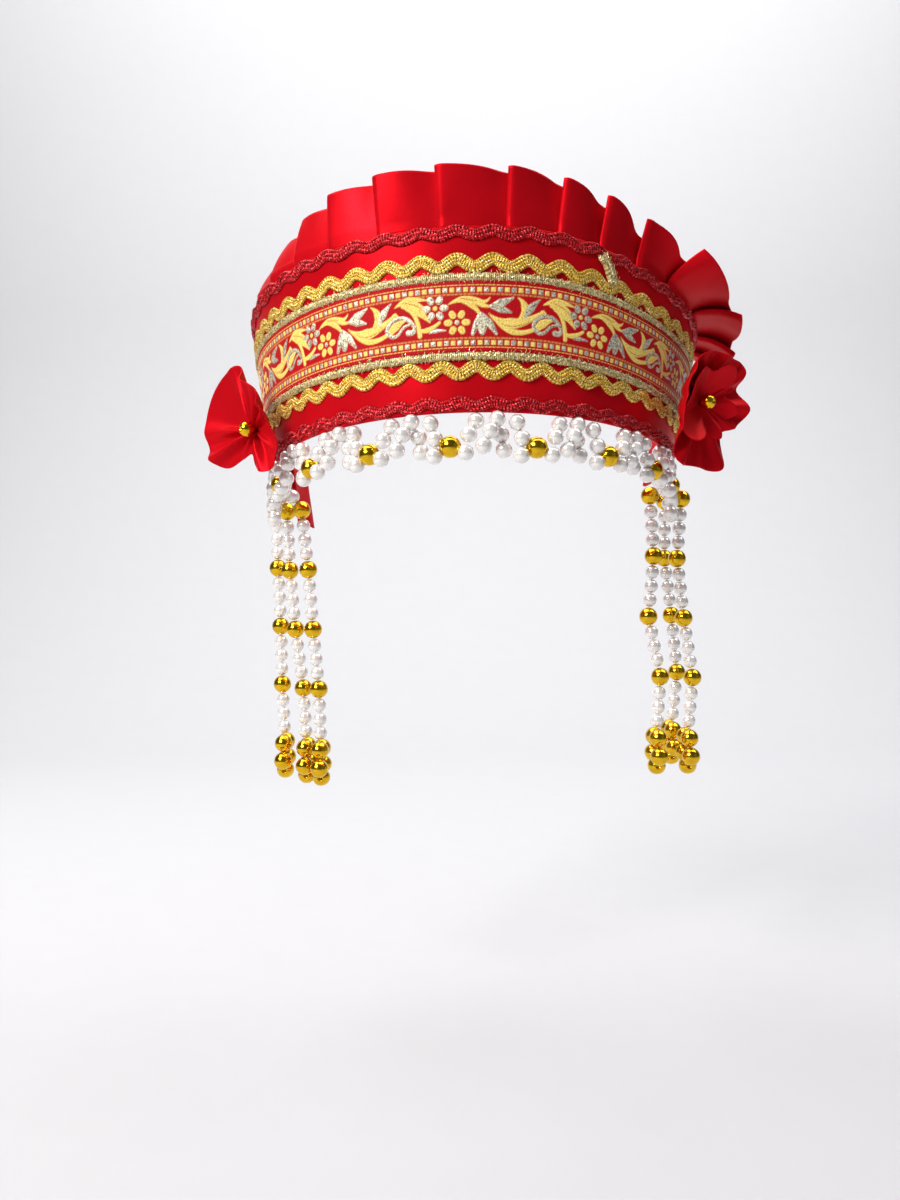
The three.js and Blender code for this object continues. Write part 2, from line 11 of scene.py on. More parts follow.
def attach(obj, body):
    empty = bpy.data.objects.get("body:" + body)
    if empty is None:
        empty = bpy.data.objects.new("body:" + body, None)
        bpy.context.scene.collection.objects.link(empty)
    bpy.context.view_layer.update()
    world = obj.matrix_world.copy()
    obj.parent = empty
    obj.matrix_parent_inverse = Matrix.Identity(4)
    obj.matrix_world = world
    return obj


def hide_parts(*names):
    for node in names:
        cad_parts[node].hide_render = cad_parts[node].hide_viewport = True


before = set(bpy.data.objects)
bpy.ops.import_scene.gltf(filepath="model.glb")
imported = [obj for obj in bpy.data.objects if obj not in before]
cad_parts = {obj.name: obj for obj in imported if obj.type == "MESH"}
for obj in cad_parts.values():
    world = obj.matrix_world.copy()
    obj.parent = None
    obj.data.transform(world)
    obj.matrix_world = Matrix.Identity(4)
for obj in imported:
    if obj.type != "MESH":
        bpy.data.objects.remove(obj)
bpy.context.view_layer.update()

bl_info = {
    "name": "Kokoshnik headdress",
    "version": (1, 0, 0),
    "blender": (4, 5, 0),
    "location": "View3D > Sidebar > Kokoshnik",
    "description": "Makes a trimmed satin headdress with its bead net and strands",
    "category": "Object",
}

MM = 0.001


def linear(code):
    """Turns an sRGB hex colour to linear red, green, blue and alpha."""
    parts = [int(code[i : i + 2], 16) / 255 for i in (1, 3, 5)]
    return [p / 12.92 if p <= 0.04045 else ((p + 0.055) / 1.055) ** 2.4 for p in parts] + [1.0]


def length(name, description, millimetres):
    return FloatProperty(
        name=name, description=description, default=millimetres * MM, min=0, unit="LENGTH", precision=4
    )


def slant(name, description, degrees):
    return FloatProperty(
        name=name, description=description, default=math.radians(degrees), subtype="ANGLE"
    )


def dye(name, description, code):
    return FloatVectorProperty(
        name=name, description=description, default=linear(code), size=4, min=0, max=1, subtype="COLOR"
    )


class KokoshnikSizes(bpy.types.PropertyGroup):
    half_width: length("Half width", "From the middle to the lower rim over an ear", 87)
    half_depth: length("Half depth", "From the middle to the lower rim on the forehead", 98)
    band_height: length("Band height", "Up the slope of the band", 65)
    band_wall: length("Band wall", "Card with its satin cover", 2)
    flare: slant("Flare", "How far the band leans out as it rises", 8)
    tilt: slant("Tilt", "How far the front is lifted", 6.2)
    sag_drop: length("Sag", "How far the upper edge is lower at the right end", 9.5)
    sag_spread: length("Spread", "How far the upper edge leans out at the right end", 3)
    ribbon_low: length("Ribbon low edge", "Height of the ribbon's lower edge on the band", 20.9)
    ribbon_high: length("Ribbon high edge", "Height of the ribbon's upper edge on the band", 45.6)
    ribbon_repeat: length("Ribbon repeat", "Length of the woven pattern", 52.5)
    pleat_pitch: length("Pleat pitch", "From one fold of the ruffle to the next", 21.4)
    pleats: IntProperty(name="Pleats", description="Folds along the ruffle", default=17, min=2)
    pearl_radius: length("Pearl radius", "Half a pearl's width", 3.05)
    gold_radius: length("Gold bead radius", "Half a gold bead's width", 4)


class KokoshnikColours(bpy.types.PropertyGroup):
    satin: dye("Satin", "Band, ruffle, rosettes and strap", "#C30E1A")
    ribbon_ground: dye("Ribbon ground", "Red ground of the woven ribbon", "#BE0A18")
    ribbon_gold: dye("Ribbon gold", "Yellow weft of the woven ribbon", "#F4DA74")
    ribbon_silver: dye("Ribbon silver", "Pale weft of the woven ribbon", "#DAD5BC")
    braid_gold: dye("Gold braid", "Wavy gold braid", "#DBB040")
    braid_pale: dye("Pale braid", "Straight braid beside the ribbon", "#C8B478")
    braid_red: dye("Red braid", "Dark red braid on the rims", "#AE101A")
    pearl: dye("Pearl", "Pearls of the net and strands", "#F6F4F2")
    gold_bead: dye("Gold bead", "Gold beads", "#E6B826")
    floor: dye("Floor", "Studio floor", "#C0C0C3")


# Ends of the trims and of the band, in degrees from the front
TRIM_END = 100
BAND_END = 106
# Length of cloth to one degree round the band, in millimetres
DEGREE = 1.6
ANGLES = np.linspace(-130, 130, 1041)
# Degrees over which the sag of the band's +X end sets in and fades again
SAG = {"onset": (10, 62), "fade": (110, 170)}


def sizes():
    return bpy.context.scene.kokoshnik_sizes


def colours():
    return bpy.context.scene.kokoshnik_colours


def smooth(turn, low, high):
    """Rises from 0 to 1 while a turn in radians goes from low to high in degrees."""
    share = np.clip((np.degrees(turn) - low) / (high - low), 0, 1)
    return share * share * (3 - 2 * share)


def band_point(angle, height, out):
    """A point of the upright band in millimetres: angle from the front, height up the slope."""
    s = sizes()
    turn, height, out = np.broadcast_arrays(np.radians(angle), height, out)
    wide, deep = s.half_width / MM, s.half_depth / MM
    normal = np.stack([np.sin(turn) / wide, -np.cos(turn) / deep], -1)
    normal = normal / np.linalg.norm(normal, axis=-1, keepdims=True)
    sag = smooth(turn, *SAG["onset"]) * (1 - smooth(turn, *SAG["fade"]))
    sag = sag * np.clip(height * MM / s.band_height, 0, 1)
    reach = height * math.sin(s.flare) + out * math.cos(s.flare) + s.sag_spread / MM * sag
    x = wide * np.sin(turn) + normal[..., 0] * reach
    y = -deep * np.cos(turn) + normal[..., 1] * reach
    z = height * math.cos(s.flare) - out * math.sin(s.flare) - s.sag_drop / MM * sag
    return np.stack([x, y, z], -1)


def tilted(points):
    """Upright band points moved to the frame of the whole headdress."""
    c, s = math.cos(sizes().tilt), math.sin(sizes().tilt)
    x, y, z = np.moveaxis(np.asarray(points, float), -1, 0)
    return np.stack([x, y * c + z * s, z * c - y * s], -1)


def arc_marks(height):
    """Distance from the front along the band at each of the listed angles."""
    points = band_point(ANGLES, height, 0)
    marks = np.concatenate([[0], np.cumsum(np.linalg.norm(np.diff(points, axis=0), axis=1))])
    return marks - np.interp(0, ANGLES, marks)


def angle_along(arc, height):
    return np.interp(arc, arc_marks(height), ANGLES)


def arc_at(angle, height):
    return float(np.interp(angle, ANGLES, arc_marks(height)))


def finish_piece(piece, material, replaces=()):
    """Gives a piece its cloth or metal and its place on the headdress."""
    piece.data.materials.clear()
    piece.data.materials.append(material)
    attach(piece, "root")
    if replaces:
        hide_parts(*replaces)
    return piece


def laid_grid(name, places, marks):
    """A grid primitive moved point by point to places, with marks in millimetres as its UV map."""
    rows, columns = places.shape[:2]
    bpy.ops.object.select_all(action="DESELECT")
    bpy.ops.mesh.primitive_grid_add(x_subdivisions=columns - 1, y_subdivisions=rows - 1)
    piece = bpy.context.object
    piece.name = name
    mesh = piece.data
    mesh.name = name
    mesh.vertices.foreach_set("co", (places.reshape(-1, 3) * MM).ravel())
    corners = np.zeros(len(mesh.loops), np.int32)
    mesh.loops.foreach_get("vertex_index", corners)
    mesh.uv_layers.active.data.foreach_set("uv", marks.reshape(-1, 2)[corners].ravel())
    mesh.update()
    bpy.ops.object.shade_smooth()
    return piece


def laid_strip(name, arc, height, out, level, foot=0.2, marks=None):
    """A trim on the band's outer face, its edges turned down to the cloth."""
    marks = np.stack([arc, height], -1) if marks is None else marks
    marks = np.pad(marks, ((1, 1), (1, 1), (0, 0)), mode="edge")
    arc, height = np.pad(arc, 1, mode="edge"), np.pad(height, 1, mode="edge")
    out = np.pad(out, 1, constant_values=foot)
    places = tilted(band_point(angle_along(arc, level), height, out))
    return laid_grid(name, places, marks)


def apply_modifier(piece, kind, **settings):
    bpy.ops.object.select_all(action="DESELECT")
    piece.select_set(True)
    bpy.context.view_layer.objects.active = piece
    modifier = piece.modifiers.new(kind.title(), kind)
    for key, value in settings.items():
        setattr(modifier, key, value)
    bpy.ops.object.modifier_apply(modifier=modifier.name)


def joined(name, pieces):
    bpy.ops.object.select_all(action="DESELECT")
    for piece in pieces:
        piece.select_set(True)
    bpy.context.view_layer.objects.active = pieces[0]
    if len(pieces) > 1:
        bpy.ops.object.join()
    piece = bpy.context.object
    piece.name = name
    piece.data.name = name
    return piece


# Materials

# One band of the wave texture is this long at scale 1
WAVE_LENGTH = 2 * math.pi / 20


def feed(tree, node, inputs):
    """Gives a node's inputs their values or links."""
    for key, value in inputs.items():
        if isinstance(value, bpy.types.NodeSocket):
            tree.links.new(value, node.inputs[key])
        else:
            node.inputs[key].default_value = value


def add(tree, kind, inputs=None, **settings):
    """Adds a shader node with its settings and its inputs."""
    node = tree.nodes.new(f"ShaderNode{kind}")
    for key, value in settings.items():
        setattr(node, key, value)
    feed(tree, node, inputs or {})
    return node


def mottle(tree, vector, spot, detail, **more):
    """Soft noise with spots about that wide, in the vector's own unit."""
    inputs = {"Vector": vector, "Scale": 1 / spot, "Detail": detail, **more}
    return add(tree, "TexNoise", inputs).outputs["Fac"]


def flecks(tree, vector, spot):
    """Hard-edged flecks about that wide, each with its own red, green and blue."""
    cells = add(tree, "TexVoronoi", {"Vector": vector, "Scale": 1 / spot, "Randomness": 1.0})
    return add(tree, "SeparateColor", {"Color": cells.outputs["Color"]}).outputs


def rib_lines(tree, vector, pitch, distortion, detail):
    """Rounded ribs across the cloth, one to each pitch."""
    inputs = {"Vector": vector, "Scale": WAVE_LENGTH / pitch, "Distortion": distortion, "Detail": detail}
    return add(tree, "TexWave", inputs, bands_direction="X").outputs["Fac"]


def spread(tree, value, low, high, start=0.0, end=1.0):
    """Moves a value between start and end to one between low and high."""
    inputs = {"Value": value, "From Min": start, "From Max": end, "To Min": low, "To Max": high}
    return add(tree, "MapRange", inputs).outputs["Result"]


def mixed(tree, share, first, second, kind="RGBA", **settings):
    inputs = {"Factor": share, "A": first, "B": second}
    return add(tree, "Mix", inputs, data_type=kind, **settings).outputs["Result"]


def combined(tree, operation, first, second):
    return add(tree, "Math", {0: first, 1: second}, operation=operation).outputs["Value"]


def bumped(tree, height, strength, depth, **more):
    inputs = {"Height": height, "Strength": strength, "Distance": depth, **more}
    return add(tree, "Bump", inputs).outputs["Normal"]


def ramp(tree, value, *stops):
    """Colours a value by stops, each a position and a colour."""
    node = add(tree, "ValToRGB", {"Fac": value})
    elements = node.color_ramp.elements
    for element, (position, colour) in zip(elements, (stops[0], stops[-1])):
        element.position, element.color = position, colour
    for position, colour in stops[1:-1]:
        elements.new(position).color = colour
    return node.outputs["Color"]


def material(name):
    """Turns a function that gives a shader's inputs into one that gives a material, made once."""

    def dressed(looks):
        def made():
            if name not in bpy.data.materials:
                cloth = bpy.data.materials.new(name)
                cloth.use_nodes = True
                tree = cloth.node_tree
                feed(tree, tree.nodes["Principled BSDF"], looks(tree))
            return bpy.data.materials[name]

        return made

    return dressed


def shade_of(colour, factor):
    return [min(1, part * factor) for part in colour[:3]] + [1.0]


@material("polyester_satin")
def satin_cloth(tree):
    """Polyester satin: a tight, glossy weave that gives broad soft lights and deep folds."""
    red = colours().satin
    place = add(tree, "TexCoord").outputs["Object"]
    # Slow change of tone along the cloth, about 25 mm across
    drift = mottle(tree, place, 25 * MM, 2)
    # Threads are about 0.15 mm apart; drawn at 0.6 mm so that the grain shows
    grain = mottle(tree, place, 0.6 * MM, 3, Roughness=0.6)
    # Faint puckers where the cloth is drawn over the card
    pucker = bumped(tree, mottle(tree, place, 14 * MM, 1), 0.25, 0.8 * MM)
    return {
        "Base Color": ramp(tree, drift, (0.3, shade_of(red, 0.86)), (0.72, shade_of(red, 1.1))),
        "Roughness": spread(tree, grain, 0.3, 0.42, 0.3, 0.7),
        "Normal": bumped(tree, grain, 0.25, 0.05 * MM, Normal=pucker),
        "Sheen Weight": 0.04,
        "Sheen Roughness": 0.35,
        "Sheen Tint": linear("#FF5060"),
        "Specular IOR Level": 0.07,
        "Specular Tint": linear("#FF6464"),
        "Metallic": 0.3,
    }


@material("jacquard_ribbon_weave")
def jacquard_cloth(tree):
    """Woven ribbon: a red satin ground with floating yellow and pale metallic wefts."""
    dyes = colours()
    chart = add(tree, "Attribute", attribute_name="chart")
    threads = add(tree, "SeparateColor", {"Color": chart.outputs["Color"]}).outputs
    place = add(tree, "UVMap").outputs["UV"]
    # Weft threads lie across the ribbon; 0.3 mm apart in the cloth, drawn at 0.5 mm
    weft = rib_lines(tree, place, 0.5, 0.6, 1)
    # The ground is darker between the weft threads: painted shade in the grooves of the weave
    ground = mixed(tree, weft, shade_of(dyes.ribbon_ground, 0.76), list(dyes.ribbon_ground))
    gold = mixed(tree, threads["Red"], ground, list(dyes.ribbon_gold))
    silver = mixed(tree, threads["Green"], gold, list(dyes.ribbon_silver))
    # The pale weft is a twisted metallic film; its bright and dark flecks are painted glints and painted
    # shade, and the softer bright and dark specks over the rest of the weave are painted glints and
    # shade too
    speckle = mottle(tree, place, 0.45, 2)
    glint = spread(tree, speckle, 0.7, 1.25, 0.35, 0.65)
    painted_pale_glints = spread(tree, flecks(tree, place, 0.42)["Red"], 0.22, 1.2, 0.1, 0.7)
    depth = mixed(tree, threads["Green"], glint, painted_pale_glints, "FLOAT")
    relief = combined(tree, "ADD", threads["Blue"], combined(tree, "MULTIPLY", weft, 0.35))
    return {
        # depth carries these painted glints and painted shade into the colour
        "Base Color": mixed(tree, 0.85, silver, depth, blend_type="MULTIPLY"),
        "Metallic": combined(tree, "MULTIPLY", threads["Green"], 0.55),
        "Roughness": spread(tree, speckle, 0.35, 0.6, 0.3, 0.7),
        "Specular IOR Level": 0.12,
        "Normal": bumped(tree, relief, 0.6, 0.25 * MM),
    }


def lurex_braid(tree, colour, dark, spark, metallic, rib):
    """Braid of metallised film thread: painted glints where the twisted film turns to the light, and
    painted shade in the grooves between its ribs.
    """
    place = add(tree, "UVMap").outputs["UV"]
    # Twisted film shows flecks about 0.5 mm long
    film = flecks(tree, place, 0.5)
    blend = mixed(tree, 0.4, film["Red"], rib_lines(tree, place, rib, 1.2, 2), "FLOAT")
    # From dark to bright: painted shade between the ribs, the braid's own colour, a lighter painted
    # highlight and a painted glint
    stops = (
        (0.12, shade_of(colour, dark)),
        (0.42, list(colour)),
        (0.68, shade_of(colour, 1.35)),
        (0.86, linear(spark)),
    )
    return {
        "Base Color": ramp(tree, blend, *stops),
        "Roughness": spread(tree, film["Green"], 0.2, 0.5),
        "Normal": bumped(tree, blend, 0.9, 0.3 * MM),
        "Metallic": metallic,
        "Specular IOR Level": 0.25,
    }


# Each braid gives how dark its painted groove shade is and the colour of its painted glints
@material("gold_lurex_braid")
def gold_lurex(tree):
    return lurex_braid(tree, colours().braid_gold, 0.28, "#FFF2B8", 0.55, 0.9)


@material("pale_lurex_chenille")
def pale_lurex(tree):
    return lurex_braid(tree, colours().braid_pale, 0.3, "#FFF6D8", 0.5, 0.7)


@material("dark_red_lurex_braid")
def red_lurex(tree):
    return lurex_braid(tree, colours().braid_red, 0.25, "#F05A60", 0.55, 1.0)


@material("acrylic_pearl")
def acrylic_pearl(tree):
    """Acrylic pearl: a white body under a thin clear lacquer with a faint warm mottle."""
    white = colours().pearl
    warm = [part * share for part, share in zip(white, (0.95, 0.93, 0.91, 1))]
    # The mottle is about 5 mm across, so each pearl has its own tone
    cloud = mottle(tree, add(tree, "TexCoord").outputs["Object"], 5 * MM, 1)
    return {
        "Base Color": ramp(tree, cloud, (0.3, warm), (0.7, list(white))),
        "Roughness": spread(tree, cloud, 0.18, 0.24),
        "Metallic": 0.38,
        "Coat Weight": 1.0,
        "Coat Roughness": 0.05,
        "IOR": 1.5,
    }


@material("metallised_gold_plastic")
def metallised_bead(tree):
    """Vacuum-metallised plastic: a bright yellow mirror under lacquer, slightly uneven."""
    gold = colours().gold_bead
    # The coat is uneven over about 3 mm
    cloud = mottle(tree, add(tree, "TexCoord").outputs["Object"], 3 * MM, 2)
    return {
        "Base Color": ramp(tree, cloud, (0.3, shade_of(gold, 0.82)), (0.7, shade_of(gold, 1.08))),
        "Roughness": spread(tree, cloud, 0.1, 0.22),
        "Metallic": 1.0,
    }


@material("matt_paper_sweep")
def matt_paper(tree):
    """Seamless paper: matt, with a faint fibre mottle."""
    pale = list(colours().floor)
    fibres = mottle(tree, add(tree, "TexCoord").outputs["Object"], 25 * MM, 2)
    return {"Base Color": mixed(tree, fibres, shade_of(pale, 0.97), pale), "Roughness": 0.9}


# Band


BAND = {"columns": 161, "rows": 15, "round_edge": 0.7}


class KOKOSHNIK_OT_band(bpy.types.Operator):
    """Make the stiff band with its satin cover"""

    bl_idname = "kokoshnik.band"
    bl_label = "Satin band"

    def execute(self, context):
        s = context.scene.kokoshnik_sizes
        tall, wall = s.band_height / MM, s.band_wall / MM
        angle, height = np.meshgrid(
            np.linspace(-BAND_END, BAND_END, BAND["columns"]), np.linspace(0, tall, BAND["rows"])
        )
        places = tilted(band_point(angle, height, 0))
        band = laid_grid("satin_band", places, np.stack([angle * DEGREE, height], -1))
        apply_modifier(band, "SOLIDIFY", thickness=wall * MM, offset=-1, use_even_offset=True)
        apply_modifier(band, "BEVEL", width=BAND["round_edge"] * MM, segments=3, limit_method="ANGLE")
        finish_piece(band, satin_cloth(), ["crown_band"])
        return {"FINISHED"}


# Woven ribbon


# Drawn repeat, in millimetres from the pale flower and the ribbon's middle line: each float
# of weft runs from start to end past a bend, with its half width at the start, middle and end
GOLD_FLOATS = (
    # start, bend, end, half widths
    ((4.7, 4.3), (10.0, 7.2), (15.8, 5.0), (0.2, 1.1, 0.8)),
    ((14.5, 5.4), (17.2, 3.9), (18.9, 6.3), (0.8, 0.7, 0.2)),
    ((9.0, 5.6), (13.6, 4.2), (15.6, 0.3), (0.8, 1.0, 0.4)),
    ((14.0, 4.8), (17.0, 3.0), (19.6, 3.4), (0.6, 0.7, 0.3)),
    ((18.6, 0.8), (26.0, -6.6), (38.0, 2.6), (0.2, 2.0, 0.5)),
    ((37.6, 2.4), (38.6, 2.4), (39.0, 1.2), (0.6, 0.5, 0.2)),
    ((20.5, -1.2), (27.0, -8.8), (36.6, -3.0), (0.3, 1.0, 0.6)),
    ((28.8, 6.6), (33.2, 3.8), (29.8, -1.2), (0.2, 1.3, 1.1)),
    ((38.0, 5.0), (43.0, 7.8), (49.3, 6.3), (0.2, 1.4, 0.3)),
    ((41.0, 5.2), (46.2, 3.8), (50.4, -1.4), (0.8, 1.7, 0.3)),
    ((42.5, 4.0), (46.3, 2.0), (46.7, -6.0), (0.7, 0.7, 0.8)),
    ((46.6, -4.0), (49.5, -5.2), (53.8, -1.9), (0.5, 0.9, 0.5)),
    ((41.5, 5.0), (46.0, 5.0), (48.8, 2.4), (0.8, 1.8, 0.9)),
    ((36.1, -3.3), (37.6, -1.4), (41.2, 0.0), (1.1, 1.5, 0.5)),
)
PALE_FLOATS = (
    ((15.4, 0.2), (14.2, -3.0), (12.9, -6.2), (0.8, 1.1, 0.6)),
    ((15.8, 0.2), (16.4, -3.0), (16.2, -5.6), (1.1, 1.9, 1.0)),
    ((16.2, 0.2), (18.8, -2.4), (21.2, -6.2), (0.8, 1.4, 0.4)),
    ((19.4, 3.4), (23.0, 4.4), (27.1, 6.6), (0.6, 1.5, 0.3)),
    ((19.6, 3.2), (23.0, 2.6), (26.3, 1.4), (0.6, 1.3, 0.3)),
    ((31.6, 0.2), (33.0, 3.7), (36.6, 6.6), (0.6, 1.4, 0.2)),
    ((36.6, -5.2), (31.9, -2.6), (37.6, 0.9), (0.6, 0.65, 0.6)),
    ((37.6, 0.9), (42.5, 2.0), (44.8, -2.6), (0.6, 0.7, 0.6)),
    ((44.8, -2.6), (45.0, -5.0), (42.6, -4.4), (0.6, 0.8, 1.0)),
    ((36.6, -5.2), (38.6, -5.2), (39.8, -3.4), (0.6, 0.55, 0.45)),
    ((39.8, -3.4), (41.0, -1.8), (43.0, -1.6), (0.45, 0.45, 0.4)),
    ((50.2, -5.3), (52.0, -4.3), (55.9, -4.7), (0.2, 0.7, 0.2)),
)
# Red ground showing as veins in the leaves
VEINS = (
    ((41.8, 5.9), (45.2, 5.6), (47.8, 3.2), (0.1, 0.16, 0.1)),
    ((9.0, 6.3), (11.4, 5.6), (14.4, 5.2), (0.1, 0.15, 0.1)),
    ((23.0, -2.6), (27.6, -4.6), (33.0, -1.6), (0.1, 0.15, 0.1)),
)
# Petals are rounded floats from root to tip, in shares of the reach
FLOWER = {"petals": 6, "reach": 3.1, "root": 0.86, "tip": 1.14, "halves": (1.0, 1.15, 1.05), "eye": 0.8}
PALE_FLOWER = (0.0, 3.2)
GOLD_FLOWER = (7.5, -2.1)
LADDER = {"level": 9.2, "pitch": 2.375, "half_width": 0.8, "rail": 1.6, "rail_half": 0.13}
FIRST_FLOWER = -14.0
# Grid of the ribbon, how far it stands off the band, and the soft edge of a float
RIBBON = {"columns": 1151, "rows": 81, "off": 1.0, "edge": 0.26}
FAR = 1e3


def float_distance(along, up, start, bend, end, halves, repeat):
    """Distance to a float of weft, negative inside it."""
    nearest = np.full(along.shape, FAR)
    for share in np.linspace(0, 1, 29):
        weights = ((1 - share) ** 2, 2 * share * (1 - share), share**2)
        x = sum(w * p[0] for w, p in zip(weights, (start, bend, end)))
        y = sum(w * p[1] for w, p in zip(weights, (start, bend, end)))
        half = np.interp(share, (0, 0.45, 1), halves)
        aside = (along - x + repeat / 2) % repeat - repeat / 2
        nearest = np.minimum(nearest, np.hypot(aside, up - y) - half)
    return nearest


def flower_distance(along, up, centre, repeat):
    """Distances to a flower's petals and to its eye."""
    petals = np.full(along.shape, FAR)
    for turn in np.arange(FLOWER["petals"]) * 2 * math.pi / FLOWER["petals"]:
        way = FLOWER["reach"] * np.array([math.cos(turn), math.sin(turn)])
        root, tip = (np.add(centre, FLOWER[end] * way) for end in ("root", "tip"))
        petals = np.minimum(
            petals, float_distance(along, up, root, root, tip, FLOWER["halves"], repeat)
        )
    eye = float_distance(along, up, centre, centre, centre, (FLOWER["eye"],) * 3, repeat)
    return petals, eye


def ladder_distance(along, up):
    """Distances to the borders' gold squares, pale squares and rails."""
    pitch, half = LADDER["pitch"], LADDER["half_width"]
    aside = np.abs(np.abs(up) - LADDER["level"])
    place = along % (2 * pitch)
    gold = np.maximum(np.abs(place - pitch / 2) - half, aside - half)
    pale = np.maximum(np.abs(place - 1.5 * pitch) - half, aside - half)
    rail = np.abs(aside - LADDER["rail"]) - LADDER["rail_half"]
    return gold, pale, rail


def woven_chart(along, up, repeat):
    """Red, green and blue hold the yellow weft, the pale weft and the relief."""
    edge = RIBBON["edge"]
    gold, pale = (
        np.min([float_distance(along, up, *row, repeat) for row in rows], 0)
        for rows in (GOLD_FLOATS, PALE_FLOATS)
    )
    petals, eye = flower_distance(along, up, PALE_FLOWER, repeat)
    pale, gold = np.minimum(pale, petals), np.minimum(gold, eye)
    petals, eye = flower_distance(along, up, GOLD_FLOWER, repeat)
    gold, pale = np.minimum(gold, petals), np.minimum(pale, eye)
    squares, pale_squares, rail = ladder_distance(along, up)
    gold = np.minimum(gold, squares)
    pale = np.minimum(pale, pale_squares)
    cover = [np.clip(0.5 - distance / edge, 0, 1) for distance in (gold, pale)]
    dashes = 0.3 + 0.55 * (np.sin(along * 4.4) > -0.5)
    cover[0] = np.maximum(cover[0], np.clip(0.5 - rail / edge, 0, 1) * dashes)
    # Binding stitches show as red dashes inside the wide yellow floats
    stitch = np.clip(1 - np.abs(gold + 0.85) / 0.2, 0, 1) * (np.sin(along * 6.5 + up * 2) > 0.1)
    cover[0] = cover[0] * (1 - 0.6 * stitch)
    for row in VEINS:
        cover[0] = cover[0] * np.clip(0.5 + float_distance(along, up, *row, repeat) / edge, 0, 1)
    relief = np.clip(-np.minimum(gold, pale) / 0.5, 0, 1) * (1 - 0.5 * stitch)
    return np.stack([*cover, relief, np.ones(along.shape)], -1)


class KOKOSHNIK_OT_ribbon(bpy.types.Operator):
    """Make the woven ribbon round the middle of the band"""

    bl_idname = "kokoshnik.ribbon"
    bl_label = "Woven ribbon"

    def execute(self, context):
        s = context.scene.kokoshnik_sizes
        low, high = s.ribbon_low / MM, s.ribbon_high / MM
        middle = (low + high) / 2
        reach = arc_at(TRIM_END, middle)
        arc, height = np.meshgrid(
            np.linspace(-reach, reach, RIBBON["columns"]), np.linspace(low, high, RIBBON["rows"])
        )
        out = np.full(arc.shape, RIBBON["off"])
        ribbon = laid_strip("woven_ribbon", arc, height, out, middle)
        chart = woven_chart(arc - FIRST_FLOWER, height - middle, s.ribbon_repeat / MM)
        chart = np.pad(chart, ((1, 1), (1, 1), (0, 0)), mode="edge")
        layer = ribbon.data.color_attributes.new("chart", "FLOAT_COLOR", "POINT")
        layer.data.foreach_set("color", chart.reshape(-1, 4).ravel())
        finish_piece(ribbon, jacquard_cloth(), ["jacquard_ribbon"])
        return {"FINISHED"}


# Braids


GOLD_BRAID = {"width": 4.6, "swing": 2.8, "waves": 28, "rib": 0.9, "rib_depth": 0.12, "cords": 4}
RED_BRAID = {"width": 4.3, "swing": 1.6, "waves": 28, "rib": 1.2, "rib_depth": 0.2, "cords": 3}
LOWER_RED, UPPER_RED = -0.1, 59.5
# How far a braid stands off the band at its edge and more in its middle, and its grooves
BRAID_FACE = {"edge": 0.65, "crown": 0.45, "groove": 0.22}
GOLD_FOOT = {"gap": 0.3, "width": 2.3}
# Fuzzy braid: its grid, how it stands off the band, and how far its threads stray
CHENILLE = {"step": 0.4, "rows": 8, "edge": 0.7, "crown": 0.7, "fuzz": (-0.22, 0.3), "stray": 0.18}
CHENILLE_ENDS = {"ragged": 0.35, "off": 0.9}
FILM = {"reach": (0.8, 1.7), "half_width": 0.11}
# Along a film end: share of its reach, share of its width and lift
FILM_SHAPE = ((0, 1, 0), (0.5, 1, 0.55), (1, 0.4, 0.35))
BRAID_TAIL = {"arc": (47.4, 53.4), "height": (61.0, 52.0), "half_width": 1.7, "columns": 30, "rows": 13}
# Share of the tail's length and of its width there
TAIL_WIDTHS = ((0, 0.25, 0.6, 0.9, 1), (1.25, 0.75, 1.0, 1.15, 0.7))
TAIL_FACE = {"foot": 1.2, "edge": 1.8, "crown": 0.7, "strand": 0.45, "arch": 0.8}
TAIL_ENDS = {"count": 130, "off": 2.6}


def wavy_strip(name, low, direction, braid):
    """A flat braid of even width, plaited from cords, that swings from its low line."""
    width, swing, waves, rib, rib_depth, cords = braid.values()
    level = low + direction * (width + swing) / 2
    reach = arc_at(TRIM_END, level)
    along = np.linspace(-reach, reach, int(2 * reach / (rib / 4)))
    turn = 2 * math.pi * waves * (along + reach) / (2 * reach)
    rise = width / 2 + swing * (1 - np.cos(turn)) / 2
    slope = swing * np.sin(turn) * math.pi * waves / (2 * reach)
    scale = np.sqrt(1 + slope**2)
    across = direction * np.linspace(-width / 2, width / 2, 4 * cords + 1)[:, None]
    arc = along - across * slope / scale
    height = low + direction * (rise + across / scale)
    crown = 1 - (2 * across / width) ** 4
    groove = -BRAID_FACE["groove"] * np.cos(2 * math.pi * cords * (across / width + 0.5))
    ribs = np.cos(2 * math.pi * (along / rib + 0.5 * cords * across / width)) * rib_depth
    out = BRAID_FACE["edge"] + BRAID_FACE["crown"] * crown + groove + ribs * (0.3 + 0.7 * crown)
    run = np.cumsum(scale) * (along[1] - along[0])
    marks = np.stack(np.broadcast_arrays(run, across), -1)
    return laid_strip(name, arc, height, out, level, marks=marks)


